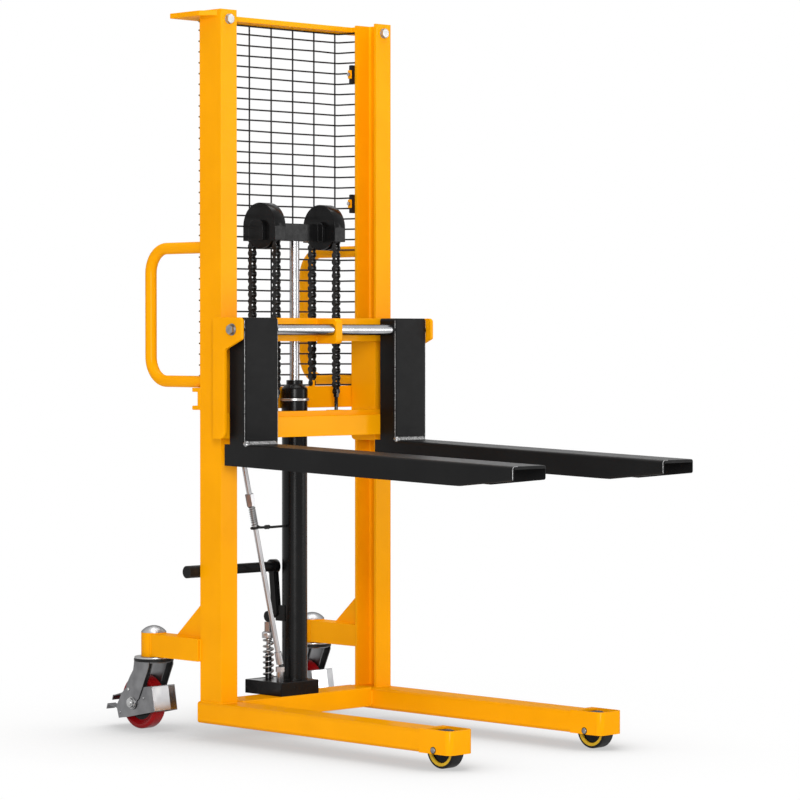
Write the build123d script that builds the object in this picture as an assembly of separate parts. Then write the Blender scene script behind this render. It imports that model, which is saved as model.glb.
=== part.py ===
from build123d import *
import os
from math import ceil, cos, floor, hypot, pi, radians, sin, sqrt

# Manual pallet stacker, in millimetres. The forks point to -Y and +Z is up.
# Places are counted from the middle of the mast on the floor. At the end every
# piece moves along Y, so that the origin lies under the middle of the machine.
# Left is -X and right is +X, as seen from the tips of the forks.

# Fits
RUNNING = 0.1
HOLE_PLAY = 0.25
SLIDE_GAP = 0.5

# Mast columns, channels that open inwards
MAST_HEIGHT = 1980.0
MAST_WIDTH = 642.0
COLUMN_DEPTH = 87.0
COLUMN_FLANGE = 58.0
COLUMN_WEB = 7.0
COLUMN_FLANGE_WALL = 9.0
COLUMN_FILLET = 5.0
STOP_BOLT = 16.0
STOP_BOLT_DROP = 26.0

# Plate round the mast top
TOP_PLATE_THICK = 14.0
TOP_PLATE_DROP = 4.0
TOP_PLATE_OVERHANG = 36.0
TOP_PLATE_FRONT = 31.0
TOP_PLATE_TAIL = 82.0
TOP_PLATE_BAND = 69.0

# Rear cross beam, a channel open to the back
REAR_BEAM_BOTTOM = 894.0
REAR_BEAM_HEIGHT = 60.5
REAR_BEAM_DEPTH = 33.5
REAR_BEAM_WALL = 11.5

# Straddle legs with a wheel box at the front, and the beam between them
LEG_UNDER = 39.5
LEG_HEIGHT = 58.5
LEG_WIDTH = 84.0
LEG_WALL = 5.0
LEG_CORNER = 8.0
LEG_PROUD = 5.0
LEG_TAIL = 6.0
LEG_REACH = 919.0
END_BOX_LENGTH = 110.0
END_BOX_WALL = 6.0
END_BOX_PROUD = 2.0
END_BOX_RISE = 3.0
END_BOX_RADIUS = 18.0
END_BOX_LID = 22.0
BASE_BEAM_BOTTOM = 46.0
BASE_BEAM_HEIGHT = 54.0
BASE_BEAM_DEPTH = 96.0

# Front load wheels
FRONT_WHEEL = 98.0
FRONT_WHEEL_WIDTH = 40.0
FRONT_WHEEL_SETBACK = 58.0
FRONT_AXLE = 12.0
FRONT_AXLE_HEAD = 17.0
FRONT_AXLE_HEAD_THICK = 4.0

# Caster arms behind the columns
CASTER_REACH = 220.5
CASTER_OUT = 9.0
CASTER_ARM_WIDTH = 58.0
CASTER_ARM_HEIGHT = 62.0
CASTER_ARM_BOTTOM = 207.0
CASTER_ARM_WALL = 5.0
CASTER_BOSS = 70.0
CASTER_BOSS_DOWN = 2.0
CASTER_BOSS_UP = 3.0
CASTER_CAP_HEIGHT = 23.0
CASTER_CAP_RIM = 2.0
GUSSET_HEIGHT = 106.0
GUSSET_LENGTH = 120.0
GUSSET_THICK = 8.0

# Swivel casters with a foot brake
CASTER_WHEEL = 150.0
CASTER_WHEEL_WIDTH = 40.0
CASTER_TRAIL = 43.0
CASTER_STEM = 24.0
CASTER_STEM_LENGTH = 60.0
CASTER_PLATE = 108.0
CASTER_PLATE_THICK = 5.0
CASTER_SEAL = 98.0
CASTER_SEAL_THICK = 5.0
CASTER_CROWN_THICK = 6.0
CASTER_CHEEK = 4.0
CASTER_CHEEK_FRONT = 26.0
CASTER_CHEEK_BACK = 38.0
CASTER_CHEEK_EYE = 36.0
CASTER_SIDE_GAP = 3.0
CASTER_AXLE = 16.0
CASTER_NUT = 24.0
CASTER_NUT_THICK = 8.0
BRAKE_SHEET = 3.0
BRAKE_GAP = 12.0
BRAKE_NOSE_LOW = (-92.0, -19.0)
BRAKE_NOSE_HIGH = (-80.0, 51.0)
BRAKE_CHEEK = ((-50.0, 47.0), (24.0, 44.0), (46.0, 24.0), (70.0, -14.0), (60.0, -48.0), (20.0, -42.0))
BRAKE_PEDAL = ((40.0, 26.0), (84.0, 14.0))
BRAKE_TREADLE = ((56.0, -20.0), (108.0, -12.0))
BRAKE_SPLIT = 26.0

# Handle loops behind the columns
HANDLE_TUBE = 32.0
HANDLE_TOP = 1338.0
HANDLE_LOW = 970.75
HANDLE_REACH = 241.0
HANDLE_BEND = 68.0

# Guard mesh between the columns
MESH_WIRE = 4.0
MESH_COLUMN_PITCH = 82.0
MESH_FIRST = 26.0
MESH_ROW_PITCH = 29.6
MESH_SETBACK = 76.5
MESH_TOP_GAP = 24.0
CLAMP_HEIGHT = 53.0
CLAMP_WIDTH = 22.0
CLAMP_DEPTH = 11.0
CLAMP_DROPS = (139.0, 507.0)
CLAMP_INBOARD = 12.0
CLAMP_TAB_HEIGHT = 24.0
CLAMP_TAB_THICK = 5.0
CLAMP_BOLT = 8.0

# Lift cylinder on its pump block
LIFT_Y = 12.0
PUMP_BLOCK_LEFT = 103.0
PUMP_BLOCK_RIGHT = 39.0
PUMP_BLOCK_FRONT = 46.0
PUMP_BLOCK_BACK = 106.0
PUMP_BLOCK_HEIGHT = 38.0
PUMP_BLOCK_EDGE = 3.0
CYLINDER = 71.0
CYLINDER_WALL = 7.5
CYLINDER_TOP = 880.0
GLAND = 73.0
GLAND_SKIRT = 35.0
GLAND_COLLAR = 82.0
GLAND_COLLAR_HEIGHT = 8.0
GLAND_CAP = 74.0
GLAND_CAP_HEIGHT = 38.0
GLAND_CHAMFER = 13.0
GLAND_NECK = 46.0
GLAND_NECK_HEIGHT = 12.0
PISTON_ROD = 27.0
PISTON_BOTTOM = 439.0
PISTON_HEIGHT = 36.0

# Lift head with its two chain pulleys
HEAD_Z = 1398.0
HEAD_BAR_DROP = 38.0
HEAD_BAR_HEIGHT = 49.0
HEAD_BAR_DEPTH = 20.0
HEAD_PAD_DEPTH = 58.0
HEAD_PAD_RISE = 7.0
HEAD_PAD_ROUND = 20.0
PULLEY_SPREAD = 226.0
PULLEY_RIM = 60.5
PULLEY_GROOVE = 39.5
PULLEY_WIDTH = 26.0
PULLEY_FLANGE = 3.0
PULLEY_PIN = 20.0
PULLEY_SIDE_GAP = 1.5
PULLEY_TIP_GAP = 2.0
COVER_WALL = 3.5
COVER_SIDE = 5.5
COVER_SKIRT = 39.0
HEAD_PAD = 13.0

# Roller chain
CHAIN_PITCH = 19.05
CHAIN_RADIUS = 49.5
CHAIN_PLATE_HEIGHT = 18.0
CHAIN_PLATE = 2.2
CHAIN_INSIDE = 9.5
CHAIN_ROLLER = 11.0
CHAIN_TONGUE_PLAY = 0.2
CHAIN_TONGUE_WIDTH = 16.0
REAR_ANCHOR_RISE = 9.0
FRONT_ANCHOR_RISE = 52.0
ANCHOR_BOLT = 10.0
ANCHOR_NUT_THICK = 8.0
ANCHOR_THREAD = 8.0

# Carriage that runs in the columns
CARRIAGE_TOP = 1145.5
CARRIAGE_OVERHANG = 42.0
CARRIAGE_GAP = 13.5
BAR_THICK = 20.0
UPPER_BAR_HEIGHT = 64.0
LOWER_BAR_BOTTOM = 819.0
LOWER_BAR_HEIGHT = 70.0
SIDE_PLATE = 10.0
SIDE_PLATE_DEPTH = 47.0
NOSE_REACH = 115.5
NOSE_DEPTH = 58.0
NOSE_SLOPE_DROP = 29.0
NOSE_ROUND = 11.0
SIDE_PLATE_ROUND = 20.0
FRONT_BEAM_HEIGHT = 56.0
FRONT_BEAM_DEPTH = 20.0
FRONT_BEAM_WALL = 8.0
FRONT_BEAM_BEND = 16.0
FRONT_BEAM_LID_STEP = 3.0
ANCHOR_LUG_WIDTH = 44.0
ANCHOR_LUG_THICK = 12.0
ANCHOR_LUG_TAIL = 18.0
ROLLER_PLATE = 10.0
ROLLER_PLATE_GAP = 6.0
ROLLER_PLATE_BOTTOM = 801.0
ROLLER_PLATE_TOP_DROP = 4.0
ROLLER_PLATE_BACK_GAP = 2.0
ROLLER_PLATE_ROUND = 14.0
ROLLER_END_MARGIN = 45.0
ROLLER_SIDE_PLAY = 0.4
ROLLER_WIDTH = 38.0
ROLLER_PIN = 25.0
ROLLER_PIN_STEP = 8.0
SHAFT = 30.0
SHAFT_DROP = 32.5
SHAFT_SETBACK = 20.5
SHAFT_BOLT_FLATS = 24.0
SHAFT_BOLT_HEAD = 9.0
SHAFT_WASHER = 32.0
SHAFT_WASHER_THICK = 3.0
SHAFT_LUG = 24.0
SHAFT_LUG_X = 14.0
SHAFT_LUG_NOSE = 19.0
SHAFT_LUG_LOW = 7.0
SHAFT_LUG_TOP_STEP = 3.0
SHAFT_LUG_ROUND = 12.0

# Forks, bent channels hung on the shaft
FORK_WIDTH = 124.0
FORK_LENGTH = 988.0
FORK_TOP = 804.0
FORK_DROOP = 1.7
FORK_BLADE_DEPTH = 60.0
FORK_TIP_DEPTH = 36.0
FORK_TAPER = 185.0
FORK_UPRIGHT_DEPTH = 59.5
FORK_HEEL_TAIL = 21.5
FORK_PLATE = 8.0
FORK_WALL = 6.0
FORK_MARGINS = {-1: 16.0, 1: 2.0}
FORK_EDGE = 8.0
FORK_SLEEVE_WALL = 4.0

# Foot pump beside the cylinder
PUMP_X = -34.0
PUMP_PIVOT_Y = 50.0
PUMP_PIVOT_Z = 323.0
PUMP_PIN = 12.0
PUMP_LUG = 8.0
PUMP_LUG_EYE = 30.0
PUMP_LUG_HEIGHT = 44.0
PEDAL_BAR_Y = 63.0
PEDAL_BAR_Z = 452.0
PEDAL_BAR = 28.0
PEDAL_BAR_END = 353.0
PEDAL_GRIP = 34.0
PEDAL_GRIP_LENGTH = 70.0
PEDAL_CHEEK = 5.0
PEDAL_CHEEK_WIDTH = 20.0
PEDAL_KNUCKLE = 40.0
PUMP_ROLLER_Y = 84.0
PUMP_ROLLER_Z = 310.5
PUMP_ROLLER = 30.0
PUMP_ROLLER_EYE = 16.0
PLUNGER_BUTTON = 20.0
PLUNGER_CAP = 36.0
PLUNGER_CAP_HEIGHT = 18.0
PLUNGER_CAP_TOP = 268.0
PLUNGER_ROD = 12.0
PLUNGER_ROD_DEPTH = 84.0
BARREL = 18.0
BARREL_TOP = 205.0
PUMP_SPRING = 32.0
PUMP_SPRING_WIRE = 5.0
PUMP_SPRING_TURNS = 6
SPRING_WIRE_SIDES = 8

# Release rod from the valve up to the hand lever behind the mast
VALVE_X = -71.0
VALVE_Y = -5.0
VALVE_POST = 20.0
VALVE_POST_HEIGHT = 26.0
VALVE_NUT = 22.0
VALVE_NUT_HEIGHT = 14.0
ROD_FOOT_Z = 186.0
ROD_TOP_X = -208.0
ROD_TOP_Y = 24.0
ROD_TOP_Z = 866.0
ROD = 14.0
ROD_SOCKET = 20.0
ROD_SOCKET_LENGTH = 34.0
ROD_COUPLING_Z = 627.0
ROD_COUPLING = 22.0
ROD_COUPLING_LENGTH = 34.0
ROD_EYE = 22.0
ROD_EYE_THICK = 8.0
ROD_EYE_PLAY = 2.0
GUIDE_Z = 567.0
GUIDE_WIRE = 6.0
ROD_SPRING = 19.6
ROD_SPRING_WIRE = 2.4
ROD_SPRING_TURNS = 14
RELEASE_PIVOT_Y = 62.0
RELEASE_PIN = 10.0
RELEASE_PLATE = 8.0
RELEASE_LEVER_WIDTH = 18.0
RELEASE_HANDLE_Y = 158.0
RELEASE_HANDLE_DROP = 14.0
RELEASE_KNOB = 30.0
RELEASE_EAR = 5.0
RELEASE_EAR_WIDTH = 22.0

# Places worked out from the dimensions above
SIDES = {"left": -1, "right": 1}
LEG_TOP = LEG_UNDER + LEG_HEIGHT
WEB_X = MAST_WIDTH / 2
COLUMN_X = WEB_X - COLUMN_FLANGE / 2
COLUMN_EDGE = WEB_X - COLUMN_FLANGE
COLUMN_BACK = COLUMN_DEPTH / 2
COLUMN_INSIDE = COLUMN_DEPTH - 2 * COLUMN_FLANGE_WALL
STOP_BOLT_Z = MAST_HEIGHT - STOP_BOLT_DROP
TOP_PLATE_TOP = MAST_HEIGHT - TOP_PLATE_DROP
REAR_BEAM_TOP = REAR_BEAM_BOTTOM + REAR_BEAM_HEIGHT
LEG_X = WEB_X + LEG_PROUD - LEG_WIDTH / 2
LEG_INNER = LEG_X - LEG_WIDTH / 2
LEG_BACK = COLUMN_BACK + LEG_TAIL
END_BOX_BACK = -LEG_REACH + END_BOX_LENGTH
END_BOX_TOP = LEG_TOP + END_BOX_RISE
END_BOX_HALF = LEG_WIDTH / 2 + END_BOX_PROUD
FRONT_WHEEL_Y = -LEG_REACH + FRONT_WHEEL_SETBACK
BASE_BEAM_TOP = BASE_BEAM_BOTTOM + BASE_BEAM_HEIGHT
CASTER_X = COLUMN_X + CASTER_OUT
CASTER_Y = COLUMN_BACK + CASTER_REACH
CASTER_ARM_TOP = CASTER_ARM_BOTTOM + CASTER_ARM_HEIGHT
CASTER_BOSS_BOTTOM = CASTER_ARM_BOTTOM - CASTER_BOSS_DOWN
CASTER_BOSS_TOP = CASTER_ARM_TOP + CASTER_BOSS_UP
CASTER_PLATE_BOTTOM = CASTER_BOSS_BOTTOM - CASTER_PLATE_THICK
CASTER_CROWN_TOP = CASTER_PLATE_BOTTOM - CASTER_SEAL_THICK
CASTER_CROWN_BOTTOM = CASTER_CROWN_TOP - CASTER_CROWN_THICK
CASTER_AXLE_Y = CASTER_Y + CASTER_TRAIL
CASTER_AXLE_Z = CASTER_WHEEL / 2
CASTER_CHEEK_IN = CASTER_WHEEL_WIDTH / 2 + CASTER_SIDE_GAP
CASTER_CHEEK_OUT = CASTER_CHEEK_IN + CASTER_CHEEK
BRAKE_IN = CASTER_CHEEK_OUT + BRAKE_GAP
BRAKE_OUT = BRAKE_IN + BRAKE_SHEET
CLAMP_IN = COLUMN_EDGE - CLAMP_INBOARD
CLAMP_OUT = CLAMP_IN + CLAMP_WIDTH
MESH_Y = COLUMN_BACK + MESH_SETBACK
MESH_HALF = COLUMN_EDGE
MESH_COLUMNS = floor((2 * MESH_HALF - MESH_FIRST - MESH_WIRE / 2) / MESH_COLUMN_PITCH)
MESH_TOP = TOP_PLATE_TOP - TOP_PLATE_THICK - MESH_TOP_GAP
MESH_ROWS = round((MESH_TOP - REAR_BEAM_TOP - MESH_WIRE) / MESH_ROW_PITCH)
PUMP_BLOCK_TOP = BASE_BEAM_TOP + PUMP_BLOCK_HEIGHT
CYLINDER_BORE = CYLINDER - 2 * CYLINDER_WALL
GLAND_COLLAR_Z = CYLINDER_TOP + GLAND_SKIRT
GLAND_CAP_Z = GLAND_COLLAR_Z + GLAND_COLLAR_HEIGHT
GLAND_NECK_Z = GLAND_CAP_Z + GLAND_CAP_HEIGHT
GLAND_TOP = GLAND_NECK_Z + GLAND_NECK_HEIGHT
HEAD_BAR_BOTTOM = HEAD_Z - HEAD_BAR_DROP
HEAD_BAR_TOP = HEAD_BAR_BOTTOM + HEAD_BAR_HEIGHT
PULLEY_X = PULLEY_SPREAD / 2
COVER_HALF = PULLEY_WIDTH / 2 + PULLEY_SIDE_GAP + COVER_SIDE
COVER_INSIDE = PULLEY_RIM + PULLEY_TIP_GAP
COVER_RADIUS = COVER_INSIDE + COVER_WALL
CHAIN_TONGUE = CHAIN_INSIDE - 2 * CHAIN_TONGUE_PLAY
REAR_CHAIN_Y = LIFT_Y + CHAIN_RADIUS
FRONT_CHAIN_Y = LIFT_Y - CHAIN_RADIUS
REAR_ANCHOR_Z = REAR_BEAM_TOP + REAR_ANCHOR_RISE
LOWER_BAR_TOP = LOWER_BAR_BOTTOM + LOWER_BAR_HEIGHT
FRONT_ANCHOR_Z = LOWER_BAR_TOP + FRONT_ANCHOR_RISE
CARRIAGE_BACK = -COLUMN_BACK - CARRIAGE_GAP
BAR_FRONT = CARRIAGE_BACK - BAR_THICK
BEAM_FRONT = BAR_FRONT - FRONT_BEAM_DEPTH
CARRIAGE_HALF = WEB_X + CARRIAGE_OVERHANG
SIDE_PLATE_IN = CARRIAGE_HALF - SIDE_PLATE
ROLLER_PLATE_OUT = COLUMN_EDGE - ROLLER_PLATE_GAP
ROLLER_PLATE_IN = ROLLER_PLATE_OUT - ROLLER_PLATE
ROLLER_PLATE_TOP = CARRIAGE_TOP - ROLLER_PLATE_TOP_DROP
ROLLER = COLUMN_INSIDE - 2 * ROLLER_SIDE_PLAY
ROLLER_X = ROLLER_PLATE_OUT + ROLLER_PIN_STEP + ROLLER_WIDTH / 2
ROLLER_HEIGHTS = {"lower": ROLLER_PLATE_BOTTOM + ROLLER_END_MARGIN,
                  "upper": ROLLER_PLATE_TOP - ROLLER_END_MARGIN}
FORK_BACK = BEAM_FRONT - SLIDE_GAP
FORK_FRONT = FORK_BACK - FORK_UPRIGHT_DEPTH
FORK_TIP = FORK_FRONT - FORK_LENGTH
FORK_X = {side: SIDE_PLATE_IN - FORK_MARGINS[side] - FORK_WIDTH / 2 for side in SIDES.values()}
SHAFT_Y = FORK_FRONT + SHAFT_SETBACK
SHAFT_Z = CARRIAGE_TOP - SHAFT_DROP
PLUNGER_TOP = PUMP_ROLLER_Z - PUMP_ROLLER / 2 - SLIDE_GAP
PLUNGER_CAP_BOTTOM = PLUNGER_CAP_TOP - PLUNGER_CAP_HEIGHT
PEDAL_CHEEK_IN = PUMP_LUG / 2 + SLIDE_GAP
PEDAL_CHEEK_OUT = PEDAL_CHEEK_IN + PEDAL_CHEEK
ROD_FOOT = Vector(VALVE_X, VALVE_Y, ROD_FOOT_Z)
ROD_HEAD = Vector(ROD_TOP_X, ROD_TOP_Y, ROD_TOP_Z)
ROD_AXIS = (ROD_HEAD - ROD_FOOT).normalized()
RELEASE_EYE_X = ROD_TOP_X + ROD_EYE_THICK / 2 + SLIDE_GAP
MACHINE_FRONT = FORK_TIP
MACHINE_BACK = CASTER_AXLE_Y + BRAKE_TREADLE[1][0]
ORIGIN_SHIFT = -(MACHINE_FRONT + MACHINE_BACK) / 2
TINY = 1e-4


def middle(span):
    return (span[0] + span[1]) / 2


def extent(span):
    return span[1] - span[0]


def spread(side, near, far):
    """Span along X from near to far on one side of the machine."""
    return tuple(sorted((side * near, side * far)))


def around(centre, size):
    return (centre - size / 2, centre + size / 2)


def block(x, y, z):
    """Rectangular solid that fills three spans."""
    return Pos(middle(x), middle(y), middle(z)) * Box(extent(x), extent(y), extent(z))


def round_x(x, y, z, diameter):
    return Pos(middle(x), y, z) * Rot(0, 90, 0) * Cylinder(diameter / 2, extent(x))


def round_y(x, y, z, diameter):
    return Pos(x, middle(y), z) * Rot(90, 0, 0) * Cylinder(diameter / 2, extent(y))


def round_z(x, y, z, diameter):
    return Pos(x, y, middle(z)) * Cylinder(diameter / 2, extent(z))


def hexagon(flats):
    return RegularPolygon(flats / sqrt(3), 6)


def across_x(face, x):
    """Solid from a face drawn in Y and Z, filling a span along X."""
    return extrude(Plane.YZ.offset(x[0]) * face, extent(x))


def outline(*corners):
    """Closed face through corners (u, v), where a third value rounds the corner."""
    face = make_face(Polyline([corner[:2] for corner in corners], close=True))
    for corner in corners:
        if len(corner) == 3:
            place = (corner[0], corner[1], 0)
            face = fillet(face.vertices().sort_by_distance(place)[0], corner[2])
    return face


def strap(start, end, start_diameter, end_diameter):
    """Flat link outline round two eyes."""
    return make_hull((Pos(*start) * Circle(start_diameter / 2)).edges()
                     + (Pos(*end) * Circle(end_diameter / 2)).edges())


def turned(*points):
    """Solid turned about the X axis from corners (x, radius)."""
    return revolve(make_face(Polyline(*points, close=True)), Axis.X)


def on_rod(z):
    """Point of the release rod's axis at a height."""
    return ROD_FOOT + ROD_AXIS * ((z - ROD_FOOT.Z) / ROD_AXIS.Z)


def along_rod(z, size, face):
    """Solid with a face square to the release rod, from a height upwards."""
    return extrude(Plane(on_rod(z), x_dir=(1, 0, 0), z_dir=ROD_AXIS) * face, size)


def column(side):
    section = Rectangle(COLUMN_FLANGE, COLUMN_DEPTH)
    section -= Pos(-side * COLUMN_WEB, 0) * Rectangle(COLUMN_FLANGE, COLUMN_INSIDE)
    root = side * (COLUMN_FLANGE / 2 - COLUMN_WEB)
    roots = [corner for corner in section.vertices() if abs(corner.X - root) < TINY]
    section = fillet(roots, COLUMN_FILLET)
    body = extrude(Pos(side * COLUMN_X, 0, LEG_TOP) * section, MAST_HEIGHT - LEG_TOP)
    hole = round_y(side * COLUMN_X, (-COLUMN_DEPTH, 0), STOP_BOLT_Z, STOP_BOLT + 2 * HOLE_PLAY)
    return body - hole


def stop_bolt(side):
    x = side * COLUMN_X
    face = -COLUMN_BACK
    head = 0.65 * STOP_BOLT
    nut = 0.8 * STOP_BOLT
    flats = 1.5 * STOP_BOLT
    inner = face + COLUMN_FLANGE_WALL
    shank = round_y(x, (face, inner + nut), STOP_BOLT_Z, STOP_BOLT)
    place = Plane((x, face, STOP_BOLT_Z), x_dir=(1, 0, 0), z_dir=(0, -1, 0))
    bolt = shank + extrude(place * hexagon(flats), head)
    place = Plane((x, inner, STOP_BOLT_Z), x_dir=(1, 0, 0), z_dir=(0, 1, 0))
    return bolt + extrude(place * hexagon(flats), nut)


def top_plate():
    wide = WEB_X + TOP_PLATE_OVERHANG
    back = COLUMN_BACK + TOP_PLATE_TAIL
    corner = TOP_PLATE_OVERHANG - TOP_PLATE_FRONT
    band = back - TOP_PLATE_BAND
    half = [(WEB_X, -TOP_PLATE_FRONT), (WEB_X, COLUMN_BACK), (COLUMN_EDGE, COLUMN_BACK),
            (COLUMN_EDGE, band)]
    face = outline(*half, *[(-x, y) for x, y in reversed(half)],
                   (-wide, corner), (-wide, back), (wide, back), (wide, corner))
    return extrude(Pos(0, 0, TOP_PLATE_TOP - TOP_PLATE_THICK) * face, TOP_PLATE_THICK)


def rear_beam():
    """Channel with the rear chain anchors and a round saddle for the cylinder's head."""
    back = COLUMN_BACK + REAR_BEAM_DEPTH
    inner = COLUMN_BACK + REAR_BEAM_WALL
    low = REAR_BEAM_BOTTOM + REAR_BEAM_WALL
    high = REAR_BEAM_TOP - REAR_BEAM_WALL
    channel = outline((COLUMN_BACK, REAR_BEAM_BOTTOM), (back, REAR_BEAM_BOTTOM), (back, low),
                      (inner, low), (inner, high), (back, high), (back, REAR_BEAM_TOP),
                      (COLUMN_BACK, REAR_BEAM_TOP))
    beam = across_x(channel, (-WEB_X, WEB_X))
    for side in SIDES.values():
        tongue = block(around(side * PULLEY_X, CHAIN_TONGUE),
                       around(REAR_CHAIN_Y, CHAIN_TONGUE_WIDTH),
                       (REAR_BEAM_TOP, REAR_ANCHOR_Z + CHAIN_TONGUE_WIDTH / 2))
        beam += tongue
    saddle = round_z(0, LIFT_Y, (REAR_BEAM_BOTTOM, REAR_BEAM_TOP), GLAND_COLLAR + 2 * HOLE_PLAY)
    return beam - saddle


def base_beam():
    section = Rectangle(BASE_BEAM_DEPTH, BASE_BEAM_HEIGHT)
    section -= Rectangle(BASE_BEAM_DEPTH - 2 * LEG_WALL, BASE_BEAM_HEIGHT - 2 * LEG_WALL)
    section = Pos(0, BASE_BEAM_BOTTOM + BASE_BEAM_HEIGHT / 2) * section
    return across_x(section, (-LEG_INNER, LEG_INNER))


def leg(side):
    section = RectangleRounded(LEG_WIDTH, LEG_HEIGHT, LEG_CORNER)
    hollow = RectangleRounded(LEG_WIDTH - 2 * LEG_WALL, LEG_HEIGHT - 2 * LEG_WALL,
                              LEG_CORNER - LEG_WALL)
    place = Plane((side * LEG_X, LEG_BACK, LEG_UNDER + LEG_HEIGHT / 2),
                  x_dir=(1, 0, 0), z_dir=(0, -1, 0))
    run = LEG_BACK - END_BOX_BACK
    tube = extrude(place * section, run)
    tube -= extrude(place.offset(LEG_WALL) * hollow, run)
    return tube + end_box(side)


def end_box(side):
    """Bent plate round the front wheel, open above and below."""
    x = side * LEG_X
    inner = END_BOX_HALF - END_BOX_WALL
    front = -LEG_REACH
    shell = outline((x - END_BOX_HALF, END_BOX_BACK), (x + END_BOX_HALF, END_BOX_BACK),
                    (x + END_BOX_HALF, front, END_BOX_RADIUS),
                    (x - END_BOX_HALF, front, END_BOX_RADIUS))
    shell -= outline((x - inner, END_BOX_BACK), (x + inner, END_BOX_BACK),
                     (x + inner, front + END_BOX_WALL, END_BOX_RADIUS - END_BOX_WALL),
                     (x - inner, front + END_BOX_WALL, END_BOX_RADIUS - END_BOX_WALL))
    box = extrude(Pos(0, 0, LEG_UNDER) * shell, END_BOX_TOP - LEG_UNDER)
    box += block(around(x, 2 * inner), (END_BOX_BACK - END_BOX_LID, END_BOX_BACK),
                 (END_BOX_TOP - END_BOX_WALL, END_BOX_TOP))
    return box - round_x(around(x, 3 * END_BOX_HALF), FRONT_WHEEL_Y, FRONT_WHEEL / 2,
                         FRONT_AXLE + 2 * HOLE_PLAY)


def front_axle(side):
    """Bolt through the wheel box, with spacers that centre the wheel."""
    x = side * LEG_X
    y = FRONT_WHEEL_Y
    z = FRONT_WHEEL / 2
    head = END_BOX_HALF + FRONT_AXLE_HEAD_THICK
    axle = round_x(around(x, 2 * head), y, z, FRONT_AXLE)
    inner = END_BOX_HALF - END_BOX_WALL
    hub = FRONT_WHEEL_WIDTH / 2 + SLIDE_GAP
    for way in SIDES.values():
        low, high = spread(way, END_BOX_HALF, head)
        axle += round_x((x + low, x + high), y, z, FRONT_AXLE_HEAD)
        low, high = spread(way, hub, inner)
        axle += round_x((x + low, x + high), y, z, FRONT_AXLE_HEAD)
    return axle


def rolling_wheel(diameter, width, bore, hub, dish, crown):
    """Wheel about X: crowned tread, dished web and a hub as wide as the tread."""
    half = width / 2
    rim = diameter / 2
    shoulder = half - 2 * crown
    web = half - dish
    tread = rim - 3 * crown
    return turned((-half, bore / 2), (-half, hub / 2), (-web, hub / 2 + dish / 2),
                  (-web, tread - dish), (-half, tread - dish / 2), (-half, rim - 2 * crown),
                  (-shoulder, rim), (shoulder, rim), (half, rim - 2 * crown),
                  (half, tread - dish / 2), (web, tread - dish), (web, hub / 2 + dish / 2),
                  (half, hub / 2), (half, bore / 2))


def front_wheel(side):
    wheel = rolling_wheel(FRONT_WHEEL, FRONT_WHEEL_WIDTH, FRONT_AXLE + 2 * RUNNING,
                          2 * FRONT_AXLE, 5.0, 2.0)
    return Pos(side * LEG_X, FRONT_WHEEL_Y, FRONT_WHEEL / 2) * wheel


def caster_arm(side):
    """Arm, swivel boss and gusset, welded to the back of the column."""
    x = side * CASTER_X
    arm = block(around(x, CASTER_ARM_WIDTH), (COLUMN_BACK, CASTER_Y),
                (CASTER_ARM_BOTTOM, CASTER_ARM_TOP))
    arm += round_z(x, CASTER_Y, (CASTER_BOSS_BOTTOM, CASTER_BOSS_TOP), CASTER_BOSS)
    wall = CASTER_ARM_WALL
    arm -= block(around(x, CASTER_ARM_WIDTH - 2 * wall),
                 (COLUMN_BACK, CASTER_Y - CASTER_BOSS / 2),
                 (CASTER_ARM_BOTTOM + wall, CASTER_ARM_TOP - wall))
    arm -= round_z(x, CASTER_Y, (CASTER_BOSS_BOTTOM, CASTER_BOSS_TOP), CASTER_STEM + 2 * RUNNING)
    gusset = outline((COLUMN_BACK, CASTER_ARM_TOP), (COLUMN_BACK + GUSSET_LENGTH, CASTER_ARM_TOP),
                     (COLUMN_BACK, CASTER_ARM_TOP + GUSSET_HEIGHT))
    return arm + across_x(gusset, around(x, GUSSET_THICK))


def caster_cap(side):
    """Domed cap pressed on the swivel boss."""
    rim = CASTER_BOSS / 2
    base = Line((0, 0), (rim, 0))
    edge = Line((rim, 0), (rim, CASTER_CAP_RIM))
    rise = CASTER_CAP_HEIGHT - CASTER_CAP_RIM
    ball = (rim ** 2 + rise ** 2) / (2 * rise)
    dome = RadiusArc((rim, CASTER_CAP_RIM), (0, CASTER_CAP_HEIGHT), -ball)
    axis = Line((0, CASTER_CAP_HEIGHT), (0, 0))
    cap = revolve(Plane.XZ * make_face([base, edge, dome, axis]), Axis.Z)
    return Pos(side * CASTER_X, CASTER_Y, CASTER_BOSS_TOP) * cap


def caster_plate(side):
    """Fixed bearing plate under the boss."""
    x = side * CASTER_X
    z = (CASTER_PLATE_BOTTOM, CASTER_BOSS_BOTTOM)
    bore = CASTER_STEM + 2 * RUNNING
    return round_z(x, CASTER_Y, z, CASTER_PLATE) - round_z(x, CASTER_Y, z, bore)


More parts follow.
